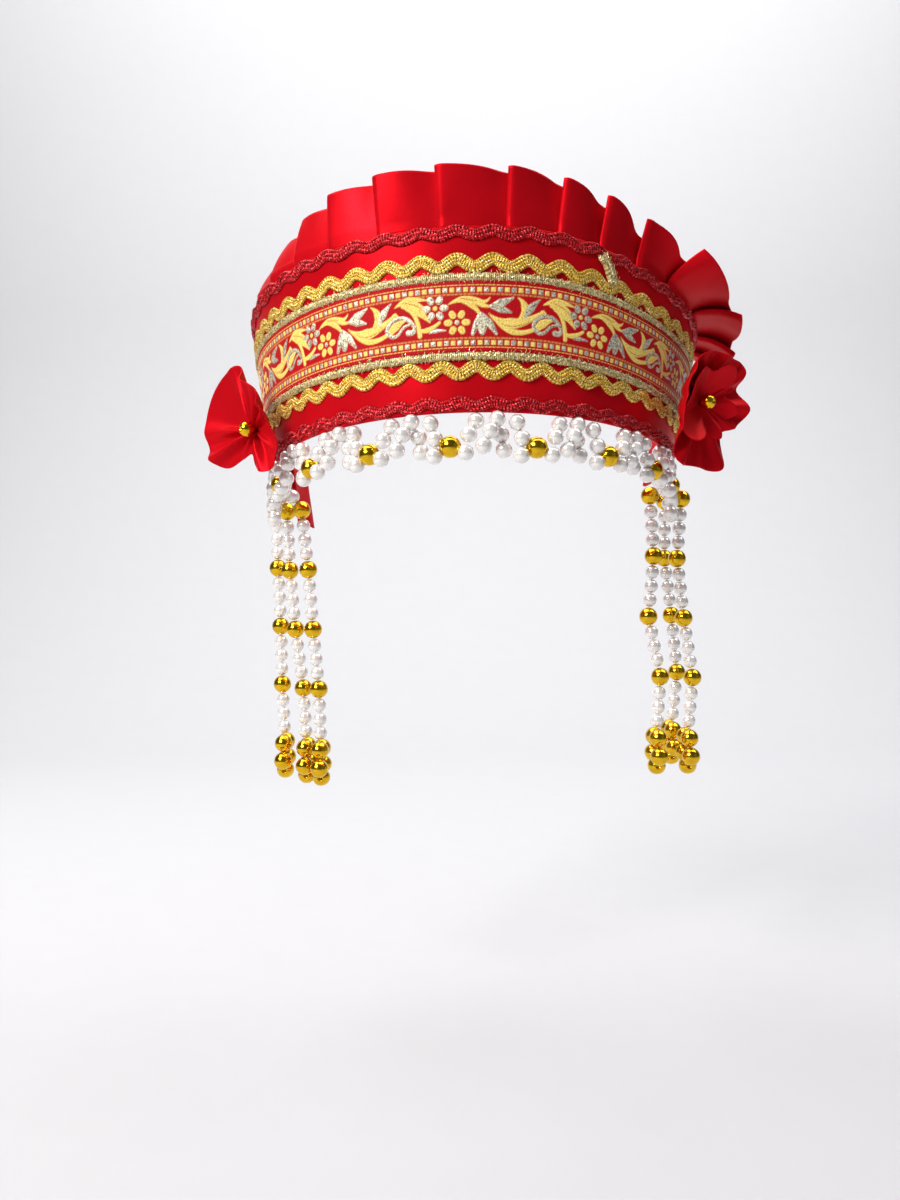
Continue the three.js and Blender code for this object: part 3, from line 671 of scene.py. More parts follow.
def chenille_strip(name, low, high, arcs, seed):
    """A straight fuzzy braid beside the ribbon, with film ends standing out of it."""
    c, ragged = CHENILLE, CHENILLE_ENDS["ragged"]
    random = np.random.default_rng(seed)
    level = (low + high) / 2
    count = int((arcs[1] - arcs[0]) / c["step"])
    arc, height = np.meshgrid(np.linspace(*arcs, count), np.linspace(low, high, c["rows"]))
    crown = 1 - ((height - level) / ((high - low) / 2)) ** 2
    out = c["edge"] + c["crown"] * crown + random.uniform(*c["fuzz"], arc.shape)
    height = height + random.uniform(-c["stray"], c["stray"], arc.shape)
    height[0] -= random.uniform(0, ragged, count)
    height[-1] += random.uniform(0, ragged, count)
    strip = laid_strip(name, arc, height, out, level)
    ends = 4 * count // 5
    roots = np.stack([random.uniform(*arcs, ends), random.uniform(low, high, ends)], -1)
    aside = np.where(roots[:, 1] > level, 1, -1) * random.uniform(0.5, 1.0, ends)
    ways = np.stack([random.uniform(-1, 1, ends), aside], -1)
    film = film_ends(f"{name}_ends", roots, ways, CHENILLE_ENDS["off"], level, random)
    return joined(name, [strip, film])


def film_ends(name, roots, ways, off, level, random):
    """Short curved slivers of film, each two faces long, on the band's outer face."""
    reach = random.uniform(*FILM["reach"], (len(roots), 1))
    ways = ways / np.linalg.norm(ways, axis=1, keepdims=True) * reach
    aside = np.stack([-ways[:, 1], ways[:, 0]], -1) / reach * FILM["half_width"]
    spots, lifts = [], []
    for share, wide, lift in FILM_SHAPE:
        for edge in (-1, 1):
            spots.append(roots + ways * share + aside * edge * wide)
            lifts.append(np.full(len(roots), off + lift))
    spots, lifts = np.stack(spots, 1).reshape(-1, 2), np.stack(lifts, 1).ravel()
    places = tilted(band_point(angle_along(spots[:, 0], level), spots[:, 1], lifts)) * MM
    first = np.arange(len(roots))[:, None] * 6
    faces = np.concatenate([first + [0, 1, 3, 2], first + [2, 3, 5, 4]])
    mesh = bpy.data.meshes.new(name)
    mesh.from_pydata(places.tolist(), [], faces.tolist())
    marks = mesh.uv_layers.new(name="UVMap")
    marks.data.foreach_set("uv", spots[faces.ravel()].ravel())
    piece = bpy.data.objects.new(name, mesh)
    bpy.context.collection.objects.link(piece)
    return piece


class KOKOSHNIK_OT_gold_braids(bpy.types.Operator):
    """Make the two gold braids that edge the ribbon"""

    bl_idname = "kokoshnik.gold_braids"
    bl_label = "Gold braids"

    def execute(self, context):
        s = context.scene.kokoshnik_sizes
        rows = (("upper", s.ribbon_high / MM, 1), ("lower", s.ribbon_low / MM, -1))
        for name, rim, direction in rows:
            edge = rim + direction * GOLD_FOOT["gap"]
            top = edge + direction * GOLD_FOOT["width"]
            wave = wavy_strip(f"{name}_gold_wave", top, direction, GOLD_BRAID)
            finish_piece(wave, gold_lurex(), [f"{name}_gold_braid"])
            low, high = sorted((rim, top))
            reach = arc_at(TRIM_END, edge)
            foot = chenille_strip(f"{name}_gold_foot", low, high, (-reach, reach), 3 + direction)
            finish_piece(foot, pale_lurex())
        tail = self.frayed_tail()
        finish_piece(tail, pale_lurex())
        return {"FINISHED"}

    def frayed_tail(self):
        """The cut end of the straight braid, turned up over the wave."""
        t, f = BRAID_TAIL, TAIL_FACE
        random = np.random.default_rng(11)
        share, across = np.meshgrid(np.linspace(0, 1, t["columns"]), np.linspace(-1, 1, t["rows"]))
        start, end = (np.array([t["arc"][i], t["height"][i]]) for i in (0, 1))
        way = (end - start) / np.linalg.norm(end - start)
        half = t["half_width"] * across * np.interp(share, *TAIL_WIDTHS)
        strands = np.cos(across * 7.5)
        fray = (1.6 * strands - 0.8 + random.uniform(-0.7, 0.7, (t["rows"], 1))) * (1 - share) ** 3
        arc = start[0] + (end - start)[0] * share - way[0] * fray - way[1] * half
        height = start[1] + (end - start)[1] * share - way[1] * fray + way[0] * half
        out = f["edge"] + f["crown"] * (1 - across**2) + f["strand"] * strands
        out = out + random.uniform(-0.2, 0.2, share.shape) + f["arch"] * np.sin(math.pi * share)
        level = sum(t["height"]) / 2
        tail = laid_strip("frayed_braid_tail", arc, height, out, level, foot=f["foot"])
        count = TAIL_ENDS["count"]
        down = random.uniform(0, 1, (count, 1)) ** 1.4
        aside = random.uniform(-1, 1, (count, 1)) * t["half_width"]
        roots = start + (end - start) * down + np.array([-way[1], way[0]]) * aside
        ways = -way * random.uniform(-0.2, 1.2, (count, 1)) + random.uniform(-0.9, 0.9, (count, 2))
        ends = film_ends("frayed_braid_ends", roots, ways, TAIL_ENDS["off"], level, random)
        return joined("frayed_braid_tail", [tail, ends])


class KOKOSHNIK_OT_red_braids(bpy.types.Operator):
    """Make the dark red scalloped braids on the band's two rims"""

    bl_idname = "kokoshnik.red_braids"
    bl_label = "Red braids"

    def execute(self, context):
        for name, low in (("upper", UPPER_RED), ("lower", LOWER_RED)):
            braid = wavy_strip(f"{name}_red_wave", low, 1, RED_BRAID)
            finish_piece(braid, red_lurex(), [f"{name}_red_braid"])
        return {"FINISHED"}


# Ruffle


RUFFLE = {"first": -185.2, "tuck": 7.0, "layer": 1.2, "outer": -0.7, "lift": 3.2, "sewn": 3.0}
# Width the cloth was cut to, its thickness, its usual height, the gap under it and its soft forms
RUFFLE_CLOTH = {"cut": 22.5, "thick": 0.6, "tall": 20, "gap": 0.3, "bulge": 0.9, "round": 1.3}
# Shares of a blade at which the cloth has points, closest at its round leading edge
BLADE = np.array([0, 0.02, 0.05, 0.09, 0.14, 0.25, 0.4, 0.55, 0.7, 0.85, 1.0])
# The folds are laid by hand: how far each stands from an even pitch, in millimetres
FOLD_SHIFTS = (
    *(0, 0, 0, 0, -0.5, -1.0, -1.5, -1.1, 0.7),
    *(4.2, 2.5, -1.3, -4.0, -4.0, 10.0, 17.0, 13.0, 5.0),
)
# Angle round the band, lean from upright in degrees, height, and how far each blade's tail drops
RUFFLE_FALL = (
    (-125, -44, 18.0, 0.04),
    (-70, -48, 18.5, 0.04),
    (-58, -45, 20.0, 0.05),
    (-46, -33, 20.0, 0.05),
    (-33, -15, 20.4, 0.02),
    (-15, -4, 21.0, 0.02),
    (2, 0, 20.4, 0.04),
    (15, 0, 18.9, 0.05),
    (30, 0, 17.9, 0.16),
    (41, 2, 17.2, 0.4),
    (52, 48, 19.8, 0.5),
    (64, 77, 21.5, 0.35),
    (76, 94, 22.5, 0.2),
    (90, 102, 23.0, 0.1),
    (125, 102, 23.0, 0.1),
)


class KOKOSHNIK_OT_ruffle(bpy.types.Operator):
    """Make the knife-pleated ruffle on the band's upper edge"""

    bl_idname = "kokoshnik.ruffle"
    bl_label = "Pleated ruffle"

    def execute(self, context):
        s = context.scene.kokoshnik_sizes
        rows = np.concatenate([[-0.25, 0.0], np.linspace(0.08, 1, 11)])
        lines = [self.pleat_line(max(row, 0.0), s) for row in rows]
        places, marks = [], []
        for row, (arc, layer, share) in zip(rows, lines):
            places.append(self.cloth_points(arc, layer, share, row, s))
            run = np.concatenate([[0], np.cumsum(np.hypot(np.diff(arc), np.diff(layer)))])
            marks.append(np.stack([run, np.full(run.shape, row * RUFFLE_CLOTH["tall"])], -1))
        ruffle = laid_grid("pleated_ruffle_cloth", tilted(np.array(places)), np.array(marks))
        apply_modifier(ruffle, "SUBSURF", levels=1, render_levels=1)
        apply_modifier(ruffle, "SOLIDIFY", thickness=RUFFLE_CLOTH["thick"] * MM, offset=0)
        finish_piece(ruffle, satin_cloth(), ["pleated_ruffle"])
        return {"FINISHED"}

    def pleat_line(self, opening, s):
        """Distance along the band, layer and share of the blade for each point of the cloth."""
        r, pitch = RUFFLE, s.pleat_pitch / MM
        outer = r["outer"] + r["lift"] * opening
        inner = r["outer"] - 2 * r["layer"]
        arc, layer, share = [], [], []
        folds = r["first"] + np.arange(s.pleats + 1) * pitch + FOLD_SHIFTS
        round_edge = RUFFLE_CLOTH["round"] * np.clip(1 - BLADE / 0.1, 0, 1) ** 2
        bulge = RUFFLE_CLOTH["bulge"] * opening * np.sin(math.pi * BLADE)
        for i in range(s.pleats):
            fold, tail = folds[i : i + 2]
            arc.extend(fold + BLADE * (tail - fold - r["layer"]))
            layer.extend(outer + (inner - outer) * BLADE**1.2 + bulge - round_edge)
            share.extend(BLADE)
            if i + 1 < s.pleats:
                arc.extend([tail + 3.0, tail + r["tuck"], tail + r["tuck"], tail + 3.5, tail + 0.4])
                middle = (inner + outer) / 2 - 0.4
                low = inner + r["layer"]
                layer.extend([inner, inner, low, middle, outer - r["layer"]])
                share.extend([1.0, 0.95, 0.9, 0.5, 0.05])
        return np.array(arc), np.array(layer), np.array(share)

    def cloth_points(self, arc, layer, share, row, s):
        """Places of one row of the cloth; rows below 0 are sewn down behind the band's edge."""
        angle = angle_along(arc, s.band_height / MM)
        table = np.array(RUFFLE_FALL)
        lean, tall, drop = (np.interp(angle, table[:, 0], table[:, i]) for i in (1, 2, 3))
        free = max(row, 0.0)
        lean = np.radians(lean) * (0.75 + 0.25 * free) * min(1.0, free * 8)
        reach = (tall - RUFFLE["sewn"]) * free * (1 - drop * share**2.2 * free)
        climb = RUFFLE["sewn"] + reach * np.cos(lean) - layer * np.sin(lean)
        climb = climb + min(row, 0.0) * RUFFLE_CLOTH["tall"] + RUFFLE_CLOTH["gap"]
        stand = reach * np.sin(lean) + layer * np.cos(lean)
        return band_point(angle, s.band_height / MM + climb, stand)


# Rosettes


ROSETTE = {
    "waist": 1.0,
    "neck": 2.6,
    "neck_share": 0.2,
    "foot_off": 0.6,
    "sewn_back": 7.0,
    "seat_off": 1.8,
    "rests_off": 2.0,
    "hollow": 2.4,
    "rolls_from": 0.55,
    "ribbon": 30.0,
    "thick": 0.5,
    "weld": 0.02,
    "bead": 3.1,
    "bead_stand": 4.7,
}
ROSETTE_SEATS = (
    # name, side, angle, height, hub, face
    ("left", -1, 60, 8.5, 9.2, 22),
    ("right", 1, 60, 21.0, 10.0, 28),
)
# Lobes and folds round each rosette: turn from straight up, outwards and down to the front,
# then reach, lift and how far the edge rolls over, in millimetres
PETALS = {
    "left": (
        (-14, 19, 5, 1.0),
        (4, 27.5, 2, 0.0),
        (40, 28, 3, 0.0),
        (75, 27.5, 4, 0.0),
        (105, 24.5, 4, 0.0),
        (126, 21.5, 3, 0.0),
        (142, 12, 1, 0.0),
        (158, 8.5, 0, 0.0),
        (180, 16, 2, 0.0),
        (202, 20, 2, 0.0),
        (232, 19.5, 2, 0.5),
        (268, 15, 3, 2.0),
        (305, 16, 4, 2.5),
        (330, 19.5, 4, 1.5),
    ),
    "right": (
        (-10, 21.5, 4, 2.0),
        (20, 21.5, 5, 1.5),
        (42, 26, 4, 0.0),
        (57, 18.5, 1, 0.0),
        (84, 24, 5, 0.5),
        (103, 20.5, 3, 0.5),
        (128, 14.5, 1, 0.0),
        (143, 29.5, 2, 0.0),
        (170, 26, 1, 0.5),
        (186, 25.5, 1, 0.0),
        (202, 30, 2, 0.0),
        (218, 25, 3, 2.0),
        (240, 23, 5, 4.0),
        (285, 20, 5, 3.5),
        (322, 21.5, 5, 2.5),
    ),
}
# Folds that run out from the gathering thread: turn, height and spread, and where along the
# petal they stand highest
FOLDS = {
    "left": (
        (-14, 4.5, 8, 0.5),
        (14, 3.0, 6, 0.28),
        (80, 3.5, 7, 0.3),
        (108, 5.0, 8, 0.5),
        (136, 2.0, 7, 0.3),
        (192, 3.5, 8, 0.4),
        (226, 2.5, 8, 0.35),
        (300, 3.0, 9, 0.4),
        (332, 3.5, 7, 0.35),
    ),
    "right": (
        (-22, 2.5, 8, 0.45),
        (12, 2.0, 7, 0.35),
        (48, 4.0, 8, 0.6),
        (82, 2.5, 8, 0.5),
        (112, 3.0, 7, 0.6),
        (146, 3.0, 7, 0.6),
        (172, 2.0, 7, 0.5),
        (198, 4.0, 8, 0.6),
        (228, 2.5, 7, 0.5),
        (262, 2.0, 8, 0.4),
        (300, 2.5, 8, 0.45),
    ),
}
# Rim of the shorter inner turn of ribbon: turn, reach and stand off the gathering, in millimetres
HEARTS = {
    "right": (
        (-66, 13, 7.0),
        (-44, 15, 10.0),
        (-26, 13, 6.5),
        (-8, 11, 6.0),
        (8, 15, 9.0),
        (26, 17, 9.0),
        (44, 16, 5.5),
        (60, 10, 2.0),
        (76, 12, 6.0),
        (92, 16, 6.5),
        (108, 13, 2.5),
        (124, 9, 2.0),
        (138, 13, 6.0),
        (150, 16, 7.0),
        (162, 13, 3.0),
        (174, 9, 3.0),
        (186, 14, 8.0),
        (204, 20, 9.5),
        (222, 21, 7.0),
        (236, 18, 4.0),
        (250, 15, 7.0),
        (272, 14, 9.5),
    ),
}


class KOKOSHNIK_OT_rosettes(bpy.types.Operator):
    """Make the gathered satin rosettes over the ears and their gold beads"""

    bl_idname = "kokoshnik.rosettes"
    bl_label = "Rosettes"

    def execute(self, context):
        for name, side, angle, height, hub, face in ROSETTE_SEATS:
            at = band_point(side * angle, height, ROSETTE["seat_off"])
            rise = band_point(side * angle, 1, 0) - band_point(side * angle, 0, 0)
            rise = rise / np.linalg.norm(rise)
            back = np.cross(rise, band_point(side * angle, 0, 1) - band_point(side * angle, 0, 0))
            back = back / np.linalg.norm(back)
            outward = np.cross(back, rise)
            back = back * side
            turns = [self.gathered_cloth(name, hub, math.radians(face))]
            if name in HEARTS:
                turns.append(self.heart_cloth(name, hub, math.radians(face)))
            sheets = []
            for local in turns:
                places = tilted(at + local[..., :3] @ np.stack([back, rise, outward]))
                if side > 0:
                    places = places[:, ::-1]
                sheets.append(laid_grid(f"{name}_turn_{len(sheets)}", places, local[..., 3:]))
            flower = joined(f"{name}_satin_rosette", sheets)
            bpy.ops.object.mode_set(mode="EDIT")
            bpy.ops.mesh.select_all(action="SELECT")
            bpy.ops.mesh.remove_doubles(threshold=ROSETTE["weld"] * MM)
            bpy.ops.object.mode_set(mode="OBJECT")
            apply_modifier(flower, "SOLIDIFY", thickness=ROSETTE["thick"] * MM, offset=0)
            apply_modifier(flower, "SUBSURF", levels=1, render_levels=1)
            finish_piece(flower, satin_cloth(), [f"{name}_rosette"])
            facing = outward * math.cos(math.radians(face)) - back * math.sin(math.radians(face))
            eye = tilted(at + outward * hub + facing * ROSETTE["bead_stand"])
            places = [(eye, tilted(facing))]
            bead = strung(f"{name}_rosette_gold_bead", gold_bead(ROSETTE["bead"]), places)
            finish_piece(bead, metallised_bead(), [f"{name}_rosette_bead"])
        return {"FINISHED"}

    def gathered_cloth(self, name, hub, face):
        """Points of a gathered ribbon, neck first: towards the back, up and off the band."""
        table = np.array(PETALS[name], float)
        turns = np.concatenate([table[:, 0] - 360, table[:, 0], table[:, 0] + 360])
        below = ROSETTE["neck_share"]
        turn, row = np.meshgrid(np.linspace(-20, 340, 181), np.linspace(-below, 1, 22))
        share = np.clip(row, 0, 1)
        neck = np.clip(1 + row / below, 0, 1)
        near = np.linspace(-8, 8, 7)
        reach, lift, roll = (
            np.mean([np.interp(turn + d, turns, np.tile(column, 3)) for d in near], 0)
            for column in table[:, 1:].T
        )
        wave = np.radians(turn)
        over = np.clip((share - ROSETTE["rolls_from"]) / (1 - ROSETTE["rolls_from"]), 0, 1)
        waist = ROSETTE["neck"] + (ROSETTE["waist"] - ROSETTE["neck"]) * neck
        radius = waist + (reach - ROSETTE["waist"]) * share - roll * over**2
        crease = -ROSETTE["hollow"] * share * (1 - share) ** 2
        for middle, tall, spread, peak in FOLDS[name]:
            aside = (turn - middle + 180) % 360 - 180
            profile = share / peak * np.exp(1 - share / peak)
            crease = crease + tall * np.exp(-((aside / spread) ** 2)) * profile
        stand = lift * share**2 + crease + 1.3 * roll * over
        sideways = radius * np.sin(wave)
        off = hub + sideways * math.sin(face) + stand * math.cos(face)
        floor = ROSETTE["rests_off"] + share + 0.35 * (stand - lift * share**2)
        off = np.where(off > floor, off, floor + 0.1 * np.maximum(off - floor, -8))
        off = np.where(row < 0, ROSETTE["foot_off"] + (off - ROSETTE["foot_off"]) * neck, off)
        along = sideways * math.cos(face) - stand * math.sin(face) + ROSETTE["sewn_back"] * (1 - neck)
        up = radius * np.cos(wave)
        return np.stack([along, up, off, wave * 20, share * 25], -1)

    def heart_cloth(self, name, hub, face):
        """Points of the inner turn of ribbon, which loops round the bead on the same neck."""
        table = np.array(HEARTS[name], float)
        count = len(table)
        laps = np.concatenate([table - [360, 0, 0], table, table + [360, 0, 0]])
        mark = np.linspace(0, count, 8 * count + 1)
        near = np.linspace(-0.45, 0.45, 7)
        turn, reach, rim = (
            np.mean([np.interp(mark + d, np.arange(-count, 2 * count), column) for d in near], 0)
            for column in laps.T
        )
        share = np.linspace(0, 1, 16)[:, None]
        wave = np.radians(turn) + 0 * share
        radius = ROSETTE["waist"] + (reach - ROSETTE["waist"]) * share
        stand = 0.8 + rim * share**1.4
        sideways = radius * np.sin(wave)
        off = hub + sideways * math.sin(face) + stand * math.cos(face)
        off = np.maximum(off, 2 * ROSETTE["rests_off"])
        along = sideways * math.cos(face) - stand * math.sin(face)
        return np.stack([along, radius * np.cos(wave), off, wave * 20, share * 18 + 0 * wave], -1)


# Beads


def round_bead(radius, segments, rings):
    bpy.ops.object.select_all(action="DESELECT")
    bpy.ops.mesh.primitive_uv_sphere_add(radius=radius * MM, segments=segments, ring_count=rings)
    bpy.ops.object.shade_smooth()
    return bpy.context.object


def pearl_bead():
    return round_bead(sizes().pearl_radius / MM, 12, 7)


# Width of the hole's rim, of its bevel, and its depth, in shares of a gold bead's radius
HOLE = {"rim": 0.16, "bevel": 0.04, "depth": 0.35}


def gold_bead(radius):
    """A gold bead with a sunk hole at each pole."""
    bead = round_bead(radius, 16, 8)
    bpy.ops.object.mode_set(mode="EDIT")
    bpy.ops.mesh.select_mode(type="FACE")
    for pole in (1, -1):
        bpy.ops.mesh.select_all(action="DESELECT")
        bpy.ops.object.mode_set(mode="OBJECT")
        for face in bead.data.polygons:
            face.select = face.center.z * pole > 0.9 * radius * MM
        bpy.ops.object.mode_set(mode="EDIT")
        bpy.ops.mesh.inset(thickness=HOLE["rim"] * radius * MM)
        bpy.ops.mesh.inset(thickness=HOLE["bevel"] * radius * MM)
        bpy.ops.transform.translate(value=(0, 0, -pole * HOLE["depth"] * radius * MM))
    bpy.ops.object.mode_set(mode="OBJECT")
    return bead


def strung(name, bead, places):
    """Copies of a bead, each with its hole along its thread, joined into one piece."""
    copies = []
    for at, way in places:
        copy = bead.copy()
        copy.data = bead.data.copy()
        turn = Vector((0, 0, 1)).rotation_difference(Vector(way)).to_matrix().to_4x4()
        copy.data.transform(Matrix.Translation(Vector(at) * MM) @ turn)
        bpy.context.collection.objects.link(copy)
        copies.append(copy)
    bpy.data.objects.remove(bead)
    return joined(name, copies)


NET = {"first_gold": -102.5, "pitch": 31.0, "golds": 8, "gold_drop": 12.0, "gold_front": 1.0}
# Along the rim, where the even net ends and the bunched pearls begin
NET_END = 116
# Behind the band's outer face, where the net is sewn on
NET_SEWN = -1
# Along the rim from a gold bead, below the rim, and in front of the rim, in millimetres
NET_PEARLS = (
    (5.5, 14.3, 2.0),
    (6.6, 7.9, 2.4),
    (9.2, 3.1, 0.6),
    (11.7, 12.0, 2.0),
    (14.2, 6.7, 2.4),
    (16.8, 2.3, 0.6),
    (18.6, 7.5, -2.4),
    (19.5, 13.0, -2.0),
    (23.9, 3.4, 0.6),
    (25.6, 9.0, 1.0),
    (25.3, 15.0, 1.0),
)
# Pearls bunched above the hanging strands, on both sides: along the rim, below it, in front
NET_BUNCH = (
    (118.0, 3.6, 0.6),
    (124.2, 3.8, 0.4),
    (130.4, 3.6, 0.6),
    (136.6, 3.8, 0.4),
    (121.0, 9.4, 1.4),
    (127.2, 9.6, 0.4),
    (133.4, 9.4, 1.4),
    (139.4, 9.2, 0.6),
    (123.6, 15.2, 0.8),
    (130.0, 15.4, 1.4),
    (136.4, 15.2, 0.8),
    (126.6, 21.0, 0.8),
    (132.8, 21.2, 1.2),
)


def net_point(arc, drop, front):
    angle = angle_along(arc, 0)
    points = tilted(band_point(angle, 0, NET_SEWN + front))
    return points - np.array([0, 0, drop])


class KOKOSHNIK_OT_bead_net(bpy.types.Operator):
    """Make the net of pearls and gold beads along the forehead"""

    bl_idname = "kokoshnik.bead_net"
    bl_label = "Bead net"

    def execute(self, context):
        random = np.random.default_rng(5)
        across = np.array([1.0, 0, 0.4])
        pearls, golds = [], []
        for i in range(-1, NET["golds"]):
            start = NET["first_gold"] + i * NET["pitch"]
            if i >= 0:
                golds.append((net_point(start, NET["gold_drop"], NET["gold_front"]), across))
            for along, drop, front in NET_PEARLS:
                if abs(start + along) < NET_END:
                    pearls.append((net_point(start + along, drop, front), random.normal(size=3)))
        for side in (-1, 1):
            for along, drop, front in NET_BUNCH:
                pearls.append((net_point(side * along, drop, front), random.normal(size=3)))
        net = strung("net_pearls", pearl_bead(), pearls)
        finish_piece(net, acrylic_pearl(), ["bead_net"])
        beads = strung("net_gold_beads", gold_bead(sizes().gold_radius / MM), golds)
        finish_piece(beads, metallised_bead())
        return {"FINISHED"}


# Name, seat angle on the rim, place of the top gold bead, and how far the next beads swing aside
STRANDS = (
    ("strand_left_1", -93, (-88.5, 5, -13.7), (0, 0.5, 1.4, 1.8, 2.7)),
    ("strand_left_2", -87, (-82.5, -2, -15.0), (0, 0.9, 3.1, 6.3, 7.4)),
    ("strand_left_3", -81, (-75.0, -9, -15.0), (0, 2.6, 4.4, 6.6, 7.2)),
    ("strand_right_1", 81, (77.5, -13, -11.0), (0, 1.3, -1.3, 3.5, 1.5)),
    ("strand_right_2", 93.5, (89.5, 13, -11.0), (0, -0.5, 2.3, 4.6, 1.6)),
    ("strand_right_3", 87, (92.5, -7, -12.0), (0, -2.2, 0.4, 4.0, 1.4)),
)
STRAND = {"pearls": 3, "loop_golds": 5, "rim_drop": 0.7}


class KOKOSHNIK_OT_strands(bpy.types.Operator):
    """Make the hanging strands of pearls and gold beads at the temples"""

    bl_idname = "kokoshnik.strands"
    bl_label = "Bead strands"

    def execute(self, context):
        for name, seat, top, swing in STRANDS:
            pearls, golds = self.bead_places(seat, np.array(top, float), swing)
            string = strung(f"{name}_pearls", pearl_bead(), pearls)
            finish_piece(string, acrylic_pearl(), [name])
            beads = strung(f"{name}_gold_beads", gold_bead(sizes().gold_radius / MM), golds)
            finish_piece(beads, metallised_bead())
        return {"FINISHED"}

    def bead_places(self, seat, top, swing):
        """Pearls and gold beads from the rim down, each with the way of its thread."""
        pearl, gold = sizes().pearl_radius / MM, sizes().gold_radius / MM
        pitch = STRAND["pearls"] * 2 * pearl + 2 * gold
        rim = tilted(band_point(seat, 0, NET_SEWN)) - np.array([0, 0, STRAND["rim_drop"]])
        slant = (rim - top) / np.linalg.norm(rim - top)
        pearls, golds = [], []
        count = int((np.linalg.norm(rim - top) - gold) / (2 * pearl) + 0.6)
        for i in range(count):
            pearls.append((top + slant * (gold + pearl + i * 2 * pearl), slant))
        knots = [top + np.array([aside, 0, -i * pitch]) for i, aside in enumerate(swing)]
        for here, below in zip(knots, knots[1:]):
            way = (below - here) / np.linalg.norm(below - here)
            golds.append((here, way))
            for i in range(STRAND["pearls"]):
                pearls.append((here + way * (gold + pearl + i * 2 * pearl), way))
        end = knots[-1] + np.array([0, 0, gold])
        step = 2 * math.pi / STRAND["loop_golds"]
        radius = gold / math.sin(step / 2)
        middle = end - np.array([0, 0, radius * math.cos(step / 2) + gold])
        for i in range(STRAND["loop_golds"]):
            turn = (i + 0.5) * step
            at = middle + radius * np.array([0, -math.sin(turn), math.cos(turn)])
            golds.append((at, (0, -math.cos(turn), -math.sin(turn))))
        return pearls, golds


# Strap


STRAP = {"from_angle": 96, "width": 11.0, "sewn": 54.0, "rise": 13.0, "rises": (115, 170), "ripple": 0.4}
TIE_END = {"from_angle": -112, "to_angle": -102, "low": -17.0, "high": 10.0, "curl": 0.8}
# How far the middle of the strap's cloth lies behind the band's outer face, and its thickness
STRAP_CLOTH = {"behind": 2.9, "thick": 0.8}


class KOKOSHNIK_OT_strap(bpy.types.Operator):
    """Make the satin strap round the back of the head and its hanging tie end"""

    bl_idname = "kokoshnik.strap"
    bl_label = "Back strap"

    def execute(self, context):
        p = STRAP
        angle, across = np.meshgrid(
            np.linspace(p["from_angle"], 360 - p["from_angle"], 121), np.linspace(-0.5, 0.5, 9)
        )
        turn = 180 - np.abs(angle - 180)
        middle = p["sewn"] + p["rise"] * smooth(np.radians(turn), *p["rises"])
        ripple = p["ripple"] * np.sin(np.radians(angle * 9)) * across
        height = middle + across * p["width"]
        self.ribbon("satin_strap", "back_strap", angle, height, ripple, "stretched")
        t = TIE_END
        angle, height = np.meshgrid(
            np.linspace(t["from_angle"], t["to_angle"], 13), np.linspace(t["low"], t["high"], 25)
        )
        free = np.clip(height / t["low"], 0, 1)
        centre = (t["from_angle"] + t["to_angle"]) / 2
        curl = free * t["curl"] * np.sin(np.radians((angle - centre) * 30))
        self.ribbon("satin_tie_end", "tie_end", angle, height, curl, "hung")
        return {"FINISHED"}

    def ribbon(self, name, node, angle, height, ripple, held):
        places = tilted(band_point(angle, height, ripple - STRAP_CLOTH["behind"]))
        strip = laid_grid(name, places, np.stack([angle * DEGREE, height], -1))
        apply_modifier(strip, "SOLIDIFY", thickness=STRAP_CLOTH["thick"] * MM, offset=0)
        finish_piece(strip, satin_cloth(), [node])


# Stage


# Paper in metres: level of the floor, its near end, where it starts to rise, the round of the rise,
# its upper end and half its width
SWEEP = {"level": -0.25, "near": -3.0, "flat_to": 0.8, "round": 0.8, "top": 5.0, "half_width": 6.0}
# Place and lens in millimetres, roll in degrees
CAMERA = {"place": (-10.2, -449.0, -55.4), "roll": 0.7, "lens": 30.0, "sensor": 36, "nearest": 10}
AIR = {"colour": "#F2F4FA", "strength": 0.12}
# Name, place and aim in metres, size, watts, colour
LIGHTS = (
    ("key_softbox", (-0.92, -1.07, 0.75), (0, 0, 0), 0.6, 26.5, "#FFFAF4"),
    ("fill_softbox", (1.2, -0.9, 0.2), (0, 0, 0), 1.0, 0.3, "#F4F7FF"),
    ("top_softbox", (-0.5, 0.2, 1.3), (0, 0, 0), 0.8, 3.0, "#FFFFFF"),
    ("backdrop_softbox", (0.1, 0.6, 1.6), (0.0, 1.6, 0.4), 2.4, 58.0, "#FFFFFF"),
)


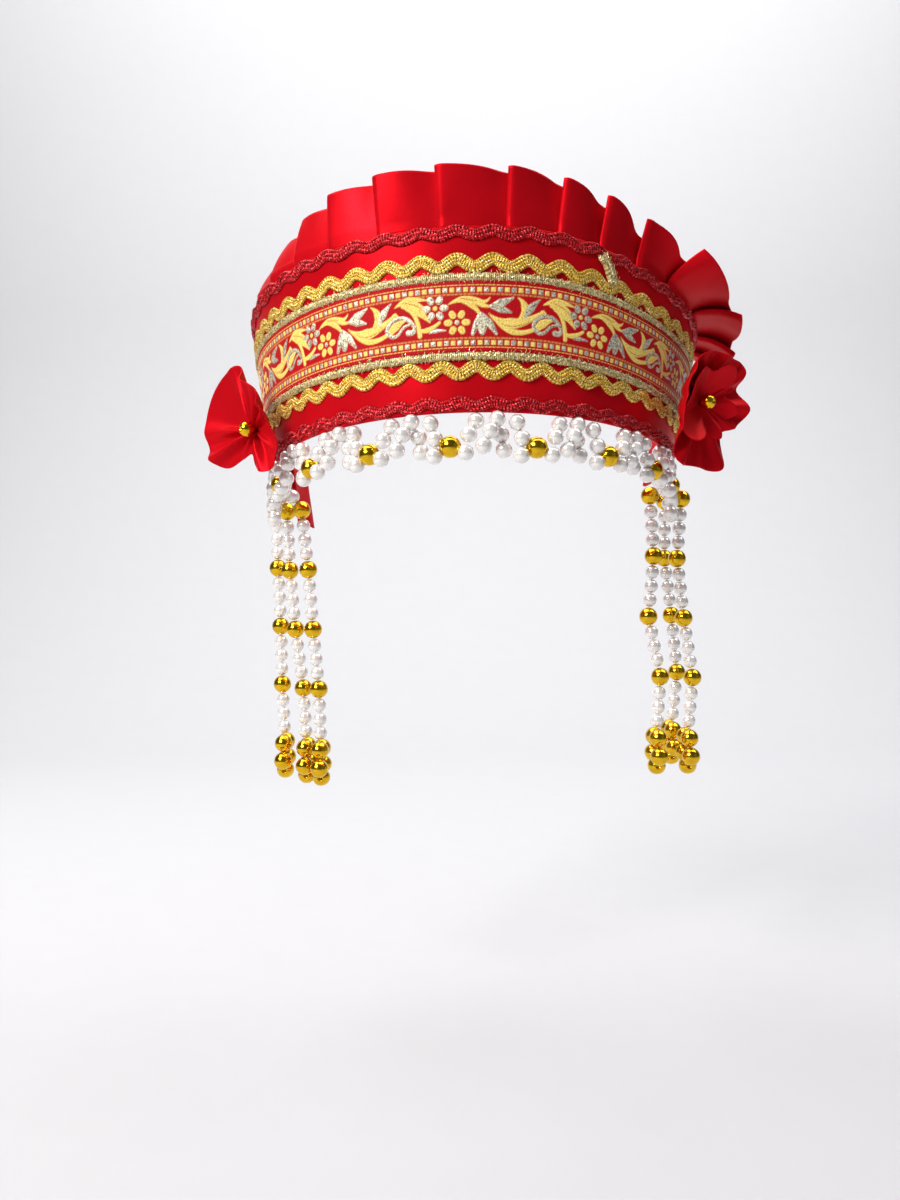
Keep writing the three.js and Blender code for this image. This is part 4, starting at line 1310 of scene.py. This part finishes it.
class KOKOSHNIK_OT_stage(bpy.types.Operator):
    """Make the pale floor, the soft lights and the camera"""

    bl_idname = "kokoshnik.stage"
    bl_label = "Stage"

    def execute(self, context):
        self.sweep()
        self.lights(context)
        view = bpy.data.cameras.new("front_view")
        view.lens = CAMERA["lens"]
        view.sensor_width = CAMERA["sensor"]
        view.clip_start = CAMERA["nearest"] * MM
        camera = bpy.data.objects.new("front_view", view)
        camera.location = Vector(CAMERA["place"]) * MM
        camera.rotation_euler = (math.radians(90), math.radians(CAMERA["roll"]), 0)
        context.collection.objects.link(camera)
        context.scene.camera = camera
        context.scene.view_settings.view_transform = "Standard"
        return {"FINISHED"}

    def sweep(self):
        """A floor that curves up into a backdrop."""
        w, bend = SWEEP, SWEEP["round"]
        line = [(w["near"], 0.0), (w["flat_to"], 0.0)]
        for turn in np.linspace(0, math.pi / 2, 13)[1:]:
            line.append((w["flat_to"] + bend * math.sin(turn), bend * (1 - math.cos(turn))))
        line.append((w["flat_to"] + bend, w["top"]))
        across = (-w["half_width"], 0.0, w["half_width"])
        places = np.array([[(x, y, z + w["level"]) for x in across] for y, z in line]) / MM
        floor = laid_grid("studio_floor", places, places[..., :2])
        floor.data.materials.append(matt_paper())

    def lights(self, context):
        for name, place, aim, size, watts, code in LIGHTS:
            lamp = bpy.data.lights.new(name, "AREA")
            lamp.size = size
            lamp.energy = watts
            lamp.color = linear(code)[:3]
            light = bpy.data.objects.new(name, lamp)
            light.location = place
            way = Vector(aim) - Vector(place)
            light.rotation_euler = way.to_track_quat("-Z", "Y").to_euler()
            context.collection.objects.link(light)
        world = bpy.data.worlds.new("studio_air")
        world.use_nodes = True
        glow = {"Color": linear(AIR["colour"]), "Strength": AIR["strength"]}
        feed(world.node_tree, world.node_tree.nodes["Background"], glow)
        context.scene.world = world


PIECES = (
    KOKOSHNIK_OT_band,
    KOKOSHNIK_OT_ribbon,
    KOKOSHNIK_OT_gold_braids,
    KOKOSHNIK_OT_red_braids,
    KOKOSHNIK_OT_ruffle,
    KOKOSHNIK_OT_rosettes,
    KOKOSHNIK_OT_bead_net,
    KOKOSHNIK_OT_strands,
    KOKOSHNIK_OT_strap,
    KOKOSHNIK_OT_stage,
)


class KOKOSHNIK_PT_panel(bpy.types.Panel):
    """Sizes, colours and pieces of the headdress"""

    bl_idname = "KOKOSHNIK_PT_panel"
    bl_label = "Kokoshnik"
    bl_space_type = "VIEW_3D"
    bl_region_type = "UI"
    bl_category = "Kokoshnik"

    def draw(self, context):
        for group in (context.scene.kokoshnik_sizes, context.scene.kokoshnik_colours):
            column = self.layout.column()
            for name in group.bl_rna.properties.keys():
                if name not in ("rna_type", "name"):
                    column.prop(group, name)
        for piece in PIECES:
            self.layout.operator(piece.bl_idname)


CLASSES = (KokoshnikSizes, KokoshnikColours, *PIECES, KOKOSHNIK_PT_panel)


def register():
    for cls in CLASSES:
        bpy.utils.register_class(cls)
    bpy.types.Scene.kokoshnik_sizes = PointerProperty(type=KokoshnikSizes)
    bpy.types.Scene.kokoshnik_colours = PointerProperty(type=KokoshnikColours)


def unregister():
    del bpy.types.Scene.kokoshnik_colours
    del bpy.types.Scene.kokoshnik_sizes
    for cls in reversed(CLASSES):
        bpy.utils.unregister_class(cls)


def main():
    register()
    for piece in PIECES:
        group, name = piece.bl_idname.split(".")
        getattr(getattr(bpy.ops, group), name)()


if __name__ == "__main__":
    main()
